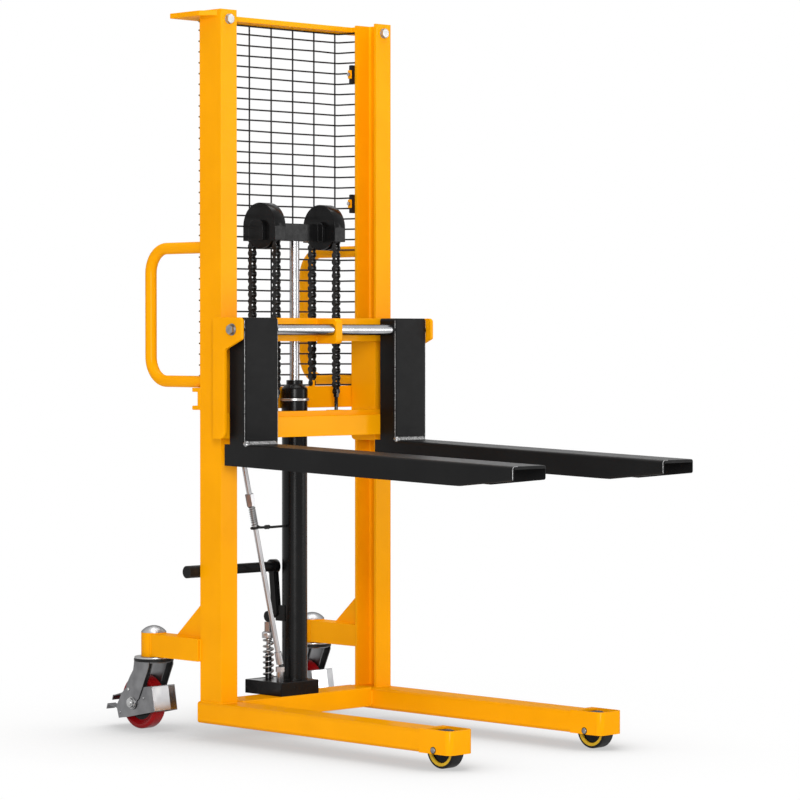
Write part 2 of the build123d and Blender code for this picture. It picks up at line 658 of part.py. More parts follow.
def caster_fork(side):
    """Pressed fork with its swivel stem, seal ring and axle bolt."""
    x = side * CASTER_X
    seal_top = CASTER_PLATE_BOTTOM - SLIDE_GAP
    stem_top = CASTER_PLATE_BOTTOM + CASTER_STEM_LENGTH
    fork = round_z(x, CASTER_Y, (CASTER_CROWN_BOTTOM, CASTER_CROWN_TOP), CASTER_SEAL)
    fork += round_z(x, CASTER_Y, (CASTER_CROWN_TOP, seal_top), CASTER_PLATE)
    fork += round_z(x, CASTER_Y, (seal_top, stem_top), CASTER_STEM)
    top = CASTER_CROWN_BOTTOM
    shoulder = Line((CASTER_Y - CASTER_CHEEK_FRONT, top), (CASTER_Y + CASTER_CHEEK_BACK, top))
    eye = Pos(CASTER_AXLE_Y, CASTER_AXLE_Z) * Circle(CASTER_CHEEK_EYE / 2)
    cheek = make_hull(ShapeList([shoulder.edge()]) + eye.edges())
    for way in SIDES.values():
        low, high = spread(way, CASTER_CHEEK_IN, CASTER_CHEEK_OUT)
        fork += across_x(cheek, (x + low, x + high))
        low, high = spread(way, CASTER_CHEEK_OUT, BRAKE_IN - SLIDE_GAP)
        fork += round_x((x + low, x + high), CASTER_AXLE_Y, CASTER_AXLE_Z, CASTER_NUT)
        low, high = spread(way, BRAKE_OUT + SLIDE_GAP, BRAKE_OUT + SLIDE_GAP + CASTER_NUT_THICK)
        nut = Pos(CASTER_AXLE_Y, CASTER_AXLE_Z) * hexagon(CASTER_NUT)
        fork += across_x(nut, (x + low, x + high))
    reach = BRAKE_OUT + SLIDE_GAP + CASTER_NUT_THICK
    return fork + round_x(around(x, 2 * reach), CASTER_AXLE_Y, CASTER_AXLE_Z, CASTER_AXLE)


def caster_wheel(side):
    wheel = rolling_wheel(CASTER_WHEEL, CASTER_WHEEL_WIDTH, CASTER_AXLE + 2 * RUNNING,
                          2.4 * CASTER_AXLE, 8.0, 3.0)
    return Pos(side * CASTER_X, CASTER_AXLE_Y, CASTER_AXLE_Z) * wheel


def sheet(start, end, thick):
    """Outline of a flat sheet in Y and Z from start to end, on the lower side of the line."""
    way = (Vector(*end) - Vector(*start)).normalized() * thick
    return outline(start, end, (end[0] + way.Y, end[1] - way.X), (start[0] + way.Y, start[1] - way.X))


def caster_brake(side):
    """Strap that straddles the fork, with a web before the wheel and a split pedal behind."""
    x = side * CASTER_X
    place = Pos(CASTER_AXLE_Y, CASTER_AXLE_Z)
    cheek = outline(BRAKE_NOSE_LOW, BRAKE_NOSE_HIGH, *BRAKE_CHEEK)
    cheek -= Circle(CASTER_AXLE / 2 + RUNNING)
    wide = around(x, 2 * BRAKE_OUT)
    brake = across_x(place * sheet(BRAKE_NOSE_HIGH, BRAKE_NOSE_LOW, BRAKE_SHEET), wide)
    brake += across_x(place * sheet(*BRAKE_PEDAL, BRAKE_SHEET), wide)
    brake += across_x(place * sheet(*BRAKE_TREADLE, BRAKE_SHEET), wide)
    notch = block(around(x, BRAKE_SPLIT), (BRAKE_CHEEK[3][0], 2 * BRAKE_TREADLE[1][0]),
                  around(0, CASTER_WHEEL))
    brake -= Pos(0, CASTER_AXLE_Y, CASTER_AXLE_Z) * notch
    brake -= round_x(around(x, CASTER_WHEEL_WIDTH + 2 * CASTER_SIDE_GAP), CASTER_AXLE_Y, CASTER_AXLE_Z,
                     CASTER_WHEEL + 2 * CASTER_SIDE_GAP)
    for way in SIDES.values():
        low, high = spread(way, BRAKE_IN, BRAKE_OUT)
        brake += across_x(place * cheek, (x + low, x + high))
    return brake


def handle(side):
    x = side * COLUMN_X
    back = COLUMN_BACK + HANDLE_REACH
    path = FilletPolyline((x, COLUMN_BACK, HANDLE_TOP), (x, back, HANDLE_TOP),
                          (x, back, HANDLE_LOW), (x, COLUMN_BACK, HANDLE_LOW),
                          radius=HANDLE_BEND)
    section = Plane(path @ 0, z_dir=path % 0) * Circle(HANDLE_TUBE / 2)
    return sweep(section, path)


def wire_net(width, height, uprights, rows):
    """Flat net: wires across the whole width, joined by upright wires at some places."""
    half = MESH_WIRE / 2
    pitch = (height - MESH_WIRE) / rows
    levels = [(row * pitch, row * pitch + MESH_WIRE) for row in range(rows + 1)]
    gaps = []
    for (_, low), (high, _) in zip(levels, levels[1:]):
        for left, right in zip(uprights, uprights[1:]):
            gaps.append(Wire.make_polygon([(left + half, low), (right - half, low),
                                           (right - half, high), (left + half, high)]))
    near = uprights[0] - half
    far = uprights[-1] + half
    rim = [(far, 0), (far, height)] if width - far < TINY else []
    if not rim:
        for low, high in levels:
            rim += [(far, low), (width, low), (width, high), (far, high)]
    for low, high in reversed(levels):
        rim += [(near, high), (0, high), (0, low), (near, low)]
    return Face(Wire.make_polygon(rim), gaps)


def guard_mesh():
    """Flat net behind the mast and two bent wings that end on the clamps."""
    height = MESH_TOP - REAR_BEAM_TOP
    wire = MESH_WIRE
    uprights = [MESH_FIRST + turn * MESH_COLUMN_PITCH for turn in range(MESH_COLUMNS + 1)]
    panel = wire_net(2 * MESH_HALF, height, uprights, MESH_ROWS)
    place = Plane((-MESH_HALF, MESH_Y, REAR_BEAM_TOP), x_dir=(1, 0, 0), z_dir=(0, -1, 0))
    nets = [extrude(place * panel, wire)]
    start = Vector(MESH_HALF + HOLE_PLAY, MESH_Y)
    end = Vector(CLAMP_OUT - wire, COLUMN_BACK + CLAMP_DEPTH)
    length = (end - start).length
    wing = wire_net(length, height, [length - wire / 2], MESH_ROWS)
    for side in SIDES.values():
        direction = Vector(side * (end - start).X, (end - start).Y)
        normal = direction.cross(Vector(0, 0, 1))
        place = Plane((side * start.X, start.Y, REAR_BEAM_TOP), x_dir=direction, z_dir=normal)
        nets.append(extrude(place * wing, -side * wire, dir=normal))
    return nets


def clamp_places():
    return [(side, MAST_HEIGHT - drop) for side in SIDES.values() for drop in CLAMP_DROPS]


def mesh_clamp(side, z):
    return block(spread(side, CLAMP_IN, CLAMP_OUT),
                 (COLUMN_BACK, COLUMN_BACK + CLAMP_DEPTH), around(z, CLAMP_HEIGHT))


def clamp_tab(side, z):
    return block(spread(side, CLAMP_IN - CLAMP_TAB_THICK, CLAMP_IN),
                 (COLUMN_BACK, COLUMN_BACK + CLAMP_DEPTH), around(z, CLAMP_TAB_HEIGHT))


def clamp_bolt(side, z):
    """Hexagon bolt that holds a tab to its clamp."""
    face = CLAMP_IN - CLAMP_TAB_THICK
    place = Pos(COLUMN_BACK + CLAMP_DEPTH / 2, z) * hexagon(1.2 * CLAMP_BOLT)
    return across_x(place, spread(side, face - 0.6 * CLAMP_BOLT, face))


def pump_block():
    """Cast block under the cylinder with the barrel of the foot pump."""
    body = block((-PUMP_BLOCK_LEFT, PUMP_BLOCK_RIGHT), (-PUMP_BLOCK_FRONT, PUMP_BLOCK_BACK),
                 (BASE_BEAM_TOP, PUMP_BLOCK_TOP))
    body = fillet(body.edges().filter_by(Axis.Z), PUMP_BLOCK_EDGE)
    body = chamfer(body.faces().sort_by(Axis.Z)[-1].edges(), PUMP_BLOCK_EDGE / 2)
    z = (PUMP_BLOCK_TOP, BARREL_TOP)
    body += round_z(PUMP_X, PUMP_ROLLER_Y, z, BARREL)
    return body - round_z(PUMP_X, PUMP_ROLLER_Y, z, PLUNGER_ROD + 2 * RUNNING)


def cylinder():
    z = (PUMP_BLOCK_TOP, CYLINDER_TOP)
    return round_z(0, LIFT_Y, z, CYLINDER) - round_z(0, LIFT_Y, z, CYLINDER_BORE)


def gland():
    """Turned head of the cylinder: skirt, collar, chamfered cap and rod neck."""
    cap = GLAND_CAP / 2
    bore = PISTON_ROD / 2 + RUNNING
    steps = [(bore, CYLINDER_TOP), (GLAND / 2, CYLINDER_TOP), (GLAND / 2, GLAND_COLLAR_Z),
             (GLAND_COLLAR / 2, GLAND_COLLAR_Z), (GLAND_COLLAR / 2, GLAND_CAP_Z),
             (cap, GLAND_CAP_Z), (cap, GLAND_NECK_Z - GLAND_CHAMFER),
             (cap - GLAND_CHAMFER, GLAND_NECK_Z), (GLAND_NECK / 2, GLAND_NECK_Z),
             (GLAND_NECK / 2, GLAND_TOP), (bore, GLAND_TOP)]
    return Pos(0, LIFT_Y) * revolve(Plane.XZ * make_face(Polyline(*steps, close=True)), Axis.Z)


def piston_rod():
    """Chromed rod with the piston on its foot."""
    piston_top = PISTON_BOTTOM + PISTON_HEIGHT
    piston = round_z(0, LIFT_Y, (PISTON_BOTTOM, piston_top), CYLINDER_BORE - 2 * HOLE_PLAY)
    return piston + round_z(0, LIFT_Y, (piston_top, HEAD_BAR_BOTTOM), PISTON_ROD)


def head_bar():
    """Crossbar with the pulley pins and a pad with a round top on each side of a cover."""
    inner = PULLEY_X - COVER_HALF
    outer = PULLEY_X + COVER_HALF
    front, back = around(LIFT_Y, HEAD_PAD_DEPTH)
    top = HEAD_BAR_TOP + HEAD_PAD_RISE
    pad = outline((front, HEAD_BAR_BOTTOM), (back, HEAD_BAR_BOTTOM),
                  (back, top, HEAD_PAD_ROUND), (front, top, HEAD_PAD_ROUND))
    bar = block((-inner, inner), around(LIFT_Y, HEAD_BAR_DEPTH), (HEAD_BAR_BOTTOM, HEAD_BAR_TOP))
    for side in SIDES.values():
        bar += round_x(spread(side, inner, outer + HEAD_PAD), LIFT_Y, HEAD_Z, PULLEY_PIN)
        bar += across_x(pad, spread(side, inner - HEAD_PAD, inner))
        bar += across_x(pad, spread(side, outer, outer + HEAD_PAD))
    return bar


def arch(radius, skirt):
    """Round-topped outline about the pulley axis with straight sides below."""
    sides = Pos(LIFT_Y, HEAD_Z - skirt / 2) * Rectangle(2 * radius, skirt)
    return Pos(LIFT_Y, HEAD_Z) * Circle(radius) + sides


def pulley_cover(side):
    """Arched cover that is open below."""
    x = side * PULLEY_X
    floor_z = HEAD_Z - COVER_SKIRT
    shell = across_x(arch(COVER_RADIUS, COVER_SKIRT), around(x, 2 * COVER_HALF))
    shell -= across_x(arch(COVER_INSIDE, COVER_SKIRT), around(x, 2 * (COVER_HALF - COVER_SIDE)))
    below = block(around(x, 4 * COVER_HALF), around(LIFT_Y, 4 * COVER_RADIUS),
                  (floor_z - 2 * COVER_RADIUS, floor_z))
    hole = round_x(around(x, 4 * COVER_HALF), LIFT_Y, HEAD_Z, PULLEY_PIN + 2 * HOLE_PLAY)
    return shell - below - hole


def pulley(side):
    half = PULLEY_WIDTH / 2
    inner = half - PULLEY_FLANGE
    bore = PULLEY_PIN / 2 + RUNNING
    sheave = turned((-half, bore), (-half, PULLEY_RIM), (-inner, PULLEY_RIM),
                    (-inner, PULLEY_GROOVE), (inner, PULLEY_GROOVE), (inner, PULLEY_RIM),
                    (half, PULLEY_RIM), (half, bore))
    return Pos(side * PULLEY_X, LIFT_Y, HEAD_Z) * sheave


def chain_plate():
    """Link outline, with its lower pin at the origin and the upper one a pitch above."""
    wide = CHAIN_PLATE_HEIGHT / 2
    waist = 0.3 * CHAIN_PLATE_HEIGHT
    tip = 0.85 * wide
    half = [(wide, 0), (waist, CHAIN_PITCH / 2), (wide, CHAIN_PITCH), (0.4 * wide, CHAIN_PITCH + tip)]
    return outline(*half, *[(-u, v) for u, v in reversed(half)], (-0.4 * wide, -tip), (0.4 * wide, -tip))


def chain_layers():
    """Spans along X of the inner and outer link plates on the +X side."""
    inner = CHAIN_INSIDE / 2
    return ((inner, inner + CHAIN_PLATE), (inner + CHAIN_PLATE, inner + 2 * CHAIN_PLATE))


def chain(places):
    """One chain from its links' places (Y, Z, lean), inner and outer links in turn.

    A roller joins each pair of links, so there is none at the two free ends.
    """
    plate = chain_plate()
    roller = RegularPolygon(CHAIN_ROLLER / 2, 6)
    links = []
    for turn, layer in enumerate(chain_layers()):
        for y, z, lean in places[turn::2]:
            face = Pos(y, z) * Rot(0, 0, lean) * plate
            links += [across_x(face, spread(way, *layer)) for way in SIDES.values()]
    for y, z, lean in places[1:]:
        links.append(across_x(Pos(y, z) * Rot(0, 0, lean) * roller, around(0, CHAIN_INSIDE)))
    return links[0].fuse(*links[1:])


def straight_chain(y, bottom):
    count = floor((HEAD_Z - bottom) / CHAIN_PITCH)
    return chain([(y, bottom + turn * CHAIN_PITCH, 0) for turn in range(count)])


def chain_wrap():
    """Links that lie over the pulley, from the rear strand to the front one."""
    step = 2 * pi * CHAIN_RADIUS / CHAIN_PITCH
    count = floor(step / 2)
    angle = 360 / step
    start = (180 - count * angle) / 2
    places = []
    for turn in range(count):
        at = radians(start + turn * angle)
        places.append((LIFT_Y + CHAIN_RADIUS * cos(at), HEAD_Z + CHAIN_RADIUS * sin(at),
                       start + (turn + 0.5) * angle))
    return chain(places)


def anchor_bolt(side):
    """Eye bolt that ends the front strand, held in the carriage by its nut."""
    x = side * PULLEY_X
    lug_bottom = LOWER_BAR_TOP - ANCHOR_LUG_THICK
    neck = FRONT_ANCHOR_Z - CHAIN_TONGUE_WIDTH
    bolt = round_z(x, FRONT_CHAIN_Y, (lug_bottom - ANCHOR_NUT_THICK - ANCHOR_THREAD, neck), ANCHOR_BOLT)
    bolt += block(around(x, CHAIN_TONGUE), around(FRONT_CHAIN_Y, CHAIN_TONGUE_WIDTH - 4),
                  (neck, FRONT_ANCHOR_Z + CHAIN_TONGUE_WIDTH / 3))
    nut = Pos(x, FRONT_CHAIN_Y, lug_bottom - ANCHOR_NUT_THICK) * hexagon(1.7 * ANCHOR_BOLT)
    return bolt + extrude(nut, ANCHOR_NUT_THICK)


def side_plate(side):
    """Carriage side with the nose that holds the fork shaft's end."""
    front = CARRIAGE_BACK - SIDE_PLATE_DEPTH
    nose = CARRIAGE_BACK - NOSE_REACH
    nose_low = CARRIAGE_TOP - NOSE_DEPTH
    face = outline((CARRIAGE_BACK, LOWER_BAR_BOTTOM), (CARRIAGE_BACK, CARRIAGE_TOP),
                   (nose, CARRIAGE_TOP, NOSE_ROUND), (nose, nose_low, NOSE_ROUND / 2),
                   (front, nose_low - NOSE_SLOPE_DROP, NOSE_ROUND),
                   (front, LOWER_BAR_BOTTOM, SIDE_PLATE_ROUND))
    plate = across_x(face, spread(side, SIDE_PLATE_IN, CARRIAGE_HALF))
    return plate - shaft_bolt(side, HOLE_PLAY)


def shaft_bolt(side, play=0.0):
    """Bolt into the end of the shaft. With play, only the hole for its shank."""
    shank = round_x(spread(side, SIDE_PLATE_IN, CARRIAGE_HALF), SHAFT_Y, SHAFT_Z,
                    SHAFT / 2 + 2 * play)
    if play:
        return shank
    washer = CARRIAGE_HALF + SHAFT_WASHER_THICK
    shank += round_x(spread(side, CARRIAGE_HALF, washer), SHAFT_Y, SHAFT_Z, SHAFT_WASHER)
    head = Pos(SHAFT_Y, SHAFT_Z) * hexagon(SHAFT_BOLT_FLATS)
    return shank + across_x(head, spread(side, washer, washer + SHAFT_BOLT_HEAD))


def upper_bar():
    return block((-SIDE_PLATE_IN, SIDE_PLATE_IN), (BAR_FRONT, CARRIAGE_BACK),
                 (CARRIAGE_TOP - UPPER_BAR_HEIGHT, CARRIAGE_TOP))


def lower_bar():
    """Flat bar between the side plates, with lugs for the chain bolts."""
    bar = block((-SIDE_PLATE_IN, SIDE_PLATE_IN), (BAR_FRONT, CARRIAGE_BACK),
                (LOWER_BAR_BOTTOM, LOWER_BAR_TOP))
    tail = FRONT_CHAIN_Y + ANCHOR_LUG_TAIL
    for side in SIDES.values():
        x = side * PULLEY_X
        z = (LOWER_BAR_TOP - ANCHOR_LUG_THICK, LOWER_BAR_TOP)
        bar += block(around(x, ANCHOR_LUG_WIDTH), (CARRIAGE_BACK, tail), z)
        bar -= round_z(x, FRONT_CHAIN_Y, z, ANCHOR_BOLT + 2 * HOLE_PLAY)
    return bar


def front_beam():
    """Bent plate that the forks lean on, with its lid set back."""
    half = ROLLER_PLATE_OUT
    wall = FRONT_BEAM_WALL
    shell = outline((-half, BAR_FRONT), (-half, BEAM_FRONT, FRONT_BEAM_BEND),
                    (half, BEAM_FRONT, FRONT_BEAM_BEND), (half, BAR_FRONT))
    inside = outline((wall - half, BAR_FRONT),
                     (wall - half, BEAM_FRONT + wall, FRONT_BEAM_BEND - wall),
                     (half - wall, BEAM_FRONT + wall, FRONT_BEAM_BEND - wall),
                     (half - wall, BAR_FRONT))
    beam = extrude(Pos(0, 0, LOWER_BAR_BOTTOM) * (shell - inside), FRONT_BEAM_HEIGHT)
    lid = LOWER_BAR_BOTTOM + FRONT_BEAM_HEIGHT - FRONT_BEAM_LID_STEP
    return beam + extrude(Pos(0, 0, lid - wall) * inside, wall)


def roller_plate(side):
    """Plate inside a column, with two stub axles for the rollers."""
    back = COLUMN_BACK - ROLLER_PLATE_BACK_GAP
    face = outline((CARRIAGE_BACK, ROLLER_PLATE_BOTTOM), (CARRIAGE_BACK, ROLLER_PLATE_TOP),
                   (back, ROLLER_PLATE_TOP, ROLLER_PLATE_ROUND),
                   (back, ROLLER_PLATE_BOTTOM, ROLLER_PLATE_ROUND))
    plate = across_x(face, spread(side, ROLLER_PLATE_IN, ROLLER_PLATE_OUT))
    tip = ROLLER_X + ROLLER_WIDTH / 2
    for z in ROLLER_HEIGHTS.values():
        plate += round_x(spread(side, ROLLER_PLATE_OUT, tip), 0, z, ROLLER_PIN)
    return plate


def roller(side, height):
    half = ROLLER_WIDTH / 2
    rim = ROLLER / 2
    edge = rim - 2
    bore = ROLLER_PIN / 2 + RUNNING
    drum = turned((-half, bore), (-half, edge), (2 - half, rim), (half - 2, rim), (half, edge),
                  (half, bore))
    return Pos(side * ROLLER_X, 0, height) * drum


def fork_shaft():
    return round_x((-SIDE_PLATE_IN, SIDE_PLATE_IN), SHAFT_Y, SHAFT_Z, SHAFT)


def shaft_lug():
    """Block on the upper bar that carries the shaft in the middle."""
    nose = SHAFT_Y - SHAFT_LUG_NOSE
    low = CARRIAGE_TOP - UPPER_BAR_HEIGHT - SHAFT_LUG_LOW
    high = CARRIAGE_TOP - SHAFT_LUG_TOP_STEP
    face = outline((BAR_FRONT, low), (BAR_FRONT, high), (nose, high, SHAFT_LUG_ROUND),
                   (nose, low, SHAFT_LUG_ROUND))
    face -= Pos(SHAFT_Y, SHAFT_Z) * Circle(SHAFT / 2 + RUNNING)
    return across_x(face, around(SHAFT_LUG_X, SHAFT_LUG))


def on_fork_front(point, top_at):
    """True on the long edges of the upright's front and of the blade's top."""
    upright = abs(point.Y - FORK_FRONT) < TINY and FORK_TOP < point.Z < CARRIAGE_TOP - FORK_PLATE
    blade = abs(point.Z - top_at(point.Y)) < TINY and FORK_TIP < point.Y < FORK_FRONT - FORK_PLATE
    return upright or blade


def fork(side):
    """Bent channel: the upright is open to the back and the blade is open below."""
    x = side * FORK_X[side]
    fall = sin(radians(FORK_DROOP))
    tail = FORK_BACK + FORK_HEEL_TAIL

    def top_at(y):
        return FORK_TOP + (y - FORK_FRONT) * fall

    taper = FORK_TIP + FORK_TAPER
    under = FORK_TOP - 2 * FORK_BLADE_DEPTH
    profile = outline((FORK_BACK, CARRIAGE_TOP), (FORK_FRONT, CARRIAGE_TOP, FORK_PLATE / 2),
                      (FORK_FRONT, FORK_TOP), (FORK_TIP, top_at(FORK_TIP), FORK_PLATE / 2),
                      (FORK_TIP, top_at(FORK_TIP) - FORK_TIP_DEPTH, FORK_PLATE / 2),
                      (taper, top_at(taper) - FORK_BLADE_DEPTH),
                      (tail, top_at(tail) - FORK_BLADE_DEPTH), (tail, FORK_TOP),
                      (FORK_BACK, FORK_TOP))
    web = FORK_FRONT + FORK_PLATE
    tip = FORK_TIP - FORK_PLATE
    hollow = outline((tail, CARRIAGE_TOP - FORK_PLATE), (web, CARRIAGE_TOP - FORK_PLATE),
                     (web, top_at(web) - FORK_PLATE), (tip, top_at(tip) - FORK_PLATE),
                     (tip, under), (tail, under))
    body = across_x(profile, around(x, FORK_WIDTH))
    rims = [edge for edge in body.edges() if on_fork_front(edge.center(), top_at)]
    body = fillet(rims, FORK_EDGE)
    body -= across_x(hollow, around(x, FORK_WIDTH - 2 * FORK_WALL))
    sleeve = SHAFT + 2 * RUNNING
    body += round_x(around(x, FORK_WIDTH), SHAFT_Y, SHAFT_Z, sleeve + 2 * FORK_SLEEVE_WALL)
    return body - round_x(around(x, 2 * FORK_WIDTH), SHAFT_Y, SHAFT_Z, sleeve)


def pump_lug():
    """Lug on the cylinder with the pedal's pivot pin."""
    y = (LIFT_Y, PUMP_PIVOT_Y)
    lug = block(around(PUMP_X, PUMP_LUG), y, around(PUMP_PIVOT_Z, PUMP_LUG_HEIGHT))
    lug += round_x(around(PUMP_X, PUMP_LUG), PUMP_PIVOT_Y, PUMP_PIVOT_Z, PUMP_LUG_EYE)
    lug -= round_z(0, LIFT_Y, around(PUMP_PIVOT_Z, 2 * PUMP_LUG_HEIGHT), CYLINDER)
    lug = lug.solids().sort_by(SortBy.VOLUME)[-1]
    return lug + round_x(around(PUMP_X, 2 * PEDAL_CHEEK_OUT), PUMP_PIVOT_Y, PUMP_PIVOT_Z, PUMP_PIN)


def pump_pedal():
    """Cranked lever: two cheeks on the lug, the pump roller and the foot bar."""
    pivot = (PUMP_PIVOT_Y, PUMP_PIVOT_Z)
    bar = (PEDAL_BAR_Y, PEDAL_BAR_Z)
    roller_eye = (PUMP_ROLLER_Y, PUMP_ROLLER_Z)
    cheek = strap(pivot, bar, PEDAL_CHEEK_WIDTH, PEDAL_CHEEK_WIDTH)
    cheek += strap(pivot, roller_eye, PEDAL_CHEEK_WIDTH, PUMP_ROLLER_EYE)
    cheek -= Pos(*pivot) * Circle(PUMP_PIN / 2 + RUNNING)
    low = PUMP_X - PEDAL_CHEEK_OUT
    high = PUMP_X + PEDAL_CHEEK_OUT
    lever = round_x((low, high), *bar, PEDAL_KNUCKLE)
    for way in SIDES.values():
        near, far = spread(way, PEDAL_CHEEK_IN, PEDAL_CHEEK_OUT)
        lever += across_x(cheek, (PUMP_X + near, PUMP_X + far))
    lever += round_x(around(PUMP_X, 2 * PEDAL_CHEEK_OUT), *roller_eye, PUMP_ROLLER_EYE / 2)
    lever += round_x(around(PUMP_X, 2 * PEDAL_CHEEK_IN - 2 * SLIDE_GAP), *roller_eye, PUMP_ROLLER)
    return lever + round_x((-PEDAL_BAR_END, low), *bar, PEDAL_BAR)


def pedal_grip():
    x = (-PEDAL_BAR_END, PEDAL_GRIP_LENGTH - PEDAL_BAR_END)
    grip = round_x(x, PEDAL_BAR_Y, PEDAL_BAR_Z, PEDAL_GRIP)
    return grip - round_x(x, PEDAL_BAR_Y, PEDAL_BAR_Z, PEDAL_BAR)


def pump_plunger():
    foot = PLUNGER_CAP_BOTTOM - PLUNGER_ROD_DEPTH
    cap = round_z(PUMP_X, PUMP_ROLLER_Y, (PLUNGER_CAP_BOTTOM, PLUNGER_CAP_TOP), PLUNGER_CAP)
    cap = fillet(cap.faces().sort_by(Axis.Z)[-1].edges(), PLUNGER_CAP_HEIGHT / 3)
    nut = Pos(PUMP_X, PUMP_ROLLER_Y, PLUNGER_CAP_TOP) * hexagon(PLUNGER_BUTTON)
    cap += extrude(nut, PLUNGER_TOP - PLUNGER_CAP_TOP)
    return cap + round_z(PUMP_X, PUMP_ROLLER_Y, (foot, PLUNGER_CAP_BOTTOM), PLUNGER_ROD)


def biarc(start, start_way, end, end_way):
    """Two arcs with a common tangent between two points with given directions."""
    chord = end - start
    ways = start_way + end_way
    a = ways.dot(ways) - 4
    b = -2 * chord.dot(ways)
    c = chord.dot(chord)
    reach = (-b - sqrt(b * b - 4 * a * c)) / (2 * a)
    knee = ((start + start_way * reach) + (end - end_way * reach)) / 2
    knee_way = (end - end_way * reach) - (start + start_way * reach)
    return [TangentArc(start, knee, tangent=start_way), TangentArc(knee, end, tangent=knee_way)]


def helix_spring(name, diameter, wire, turns, height):
    """Coil about Z from the origin up, one faceted wire on quarter-turn arc pairs."""
    radius = (diameter - wire) / 2
    rise = (height - wire) / turns
    quarter = pi / 2

    def point(angle):
        return Vector(radius * cos(angle), radius * sin(angle),
                      wire / 2 + rise * angle / (2 * pi))

    def way(angle):
        climb = rise / (2 * pi)
        return Vector(-radius * sin(angle), radius * cos(angle), climb).normalized()

    edges = []
    for step in range(4 * turns):
        low = step * quarter
        edges += biarc(point(low), way(low), point(low + quarter), way(low + quarter))
    path = Wire(edges)
    section = Plane(point(0), x_dir=(0, 0, 1), z_dir=way(0)) * RegularPolygon(wire / 2, SPRING_WIRE_SIDES)
    points = [point(turn * pi / 12) for turn in range(24 * turns + 1)]
    gap = min((points[i] - points[j]).length for i in range(len(points))
              for j in range(i + 13, len(points))) - wire
    print(name, "turns", turns, "least gap to itself", round(gap, 2), "mm")
    return sweep(section, path)


def pump_spring():
    coil = helix_spring("pump_spring", PUMP_SPRING, PUMP_SPRING_WIRE, PUMP_SPRING_TURNS,
                        PLUNGER_CAP_BOTTOM - PUMP_BLOCK_TOP)
    return Pos(PUMP_X, PUMP_ROLLER_Y, PUMP_BLOCK_TOP) * coil


def release_valve():
    """Valve post on the block with its nut."""
    top = PUMP_BLOCK_TOP + VALVE_POST_HEIGHT
    post = round_z(VALVE_X, VALVE_Y, (PUMP_BLOCK_TOP, top), VALVE_POST)
    return post + extrude(Pos(VALVE_X, VALVE_Y, top) * hexagon(VALVE_NUT), VALVE_NUT_HEIGHT)


def release_rod():
    """Straight rod with a socket at the valve, a coupling nut and an eye at the lever."""
    rod = along_rod(ROD_FOOT_Z, (ROD_HEAD - ROD_FOOT).length, Circle(ROD / 2))
    rod += along_rod(ROD_FOOT_Z, ROD_SOCKET_LENGTH, Circle(ROD_SOCKET / 2))
    rod += along_rod(ROD_COUPLING_Z, ROD_COUPLING_LENGTH, hexagon(ROD_COUPLING))
    rod += round_x(around(ROD_TOP_X, ROD_EYE_THICK), ROD_TOP_Y, ROD_TOP_Z, ROD_EYE)
    keep_clear = block((RELEASE_EYE_X - SLIDE_GAP, 0), (-LIFT_Y, RELEASE_PIVOT_Y),
                       around(ROD_TOP_Z, 2 * ROD_EYE))
    rod -= keep_clear
    return rod - round_x(around(ROD_TOP_X, 2 * ROD_EYE), ROD_TOP_Y, ROD_TOP_Z,
                         RELEASE_PIN + 2 * ROD_EYE_PLAY)


def release_lever():
    """Hand lever with the rod's pin at its front end and a knob behind."""
    x = (RELEASE_EYE_X, RELEASE_EYE_X + RELEASE_PLATE)
    pivot = (RELEASE_PIVOT_Y, ROD_TOP_Z)
    tail = (RELEASE_HANDLE_Y, ROD_TOP_Z - RELEASE_HANDLE_DROP)
    arm = strap((ROD_TOP_Y, ROD_TOP_Z), pivot, RELEASE_LEVER_WIDTH, RELEASE_LEVER_WIDTH)
    arm += strap(pivot, tail, RELEASE_LEVER_WIDTH, 0.7 * RELEASE_LEVER_WIDTH)
    arm -= Pos(*pivot) * Circle(RELEASE_PIN / 2 + RUNNING)
    lever = across_x(arm, x)
    lever += round_x((ROD_TOP_X - ROD_EYE_THICK, x[0]), ROD_TOP_Y, ROD_TOP_Z, RELEASE_PIN)
    return lever + Pos(middle(x), *tail) * Sphere(RELEASE_KNOB / 2)


def release_bracket():
    """Two ears under the rear cross beam with the lever's pivot pin."""
    y = around(RELEASE_PIVOT_Y, RELEASE_EAR_WIDTH)
    low = ROD_TOP_Z - RELEASE_EAR_WIDTH / 2
    near = RELEASE_EYE_X - SLIDE_GAP
    far = RELEASE_EYE_X + RELEASE_PLATE + SLIDE_GAP
    ears = block((near - RELEASE_EAR, near), y, (low, REAR_BEAM_BOTTOM))
    ears += block((far, far + RELEASE_EAR), y, (low, REAR_BEAM_BOTTOM))
    return ears + round_x((near, far), RELEASE_PIVOT_Y, ROD_TOP_Z, RELEASE_PIN)


def rod_guide():
    """Bent wire from the cylinder that ends in a ring round the rod."""
    centre = on_rod(GUIDE_Z)
    ring = Plane(centre, x_dir=(1, 0, 0), z_dir=ROD_AXIS) * Torus(
        ROD / 2 + SLIDE_GAP + GUIDE_WIRE / 2, GUIDE_WIRE / 2)
    hub = Vector(0, LIFT_Y, GUIDE_Z)
    way = (hub - centre).normalized()
    start = centre + way * (ROD / 2 + SLIDE_GAP + GUIDE_WIRE / 2)
    wire = extrude(Plane(start, z_dir=way) * Circle(GUIDE_WIRE / 2), (hub - start).length)
    guide = ring + wire
    return guide - round_z(0, LIFT_Y, around(GUIDE_Z, CYLINDER), CYLINDER)


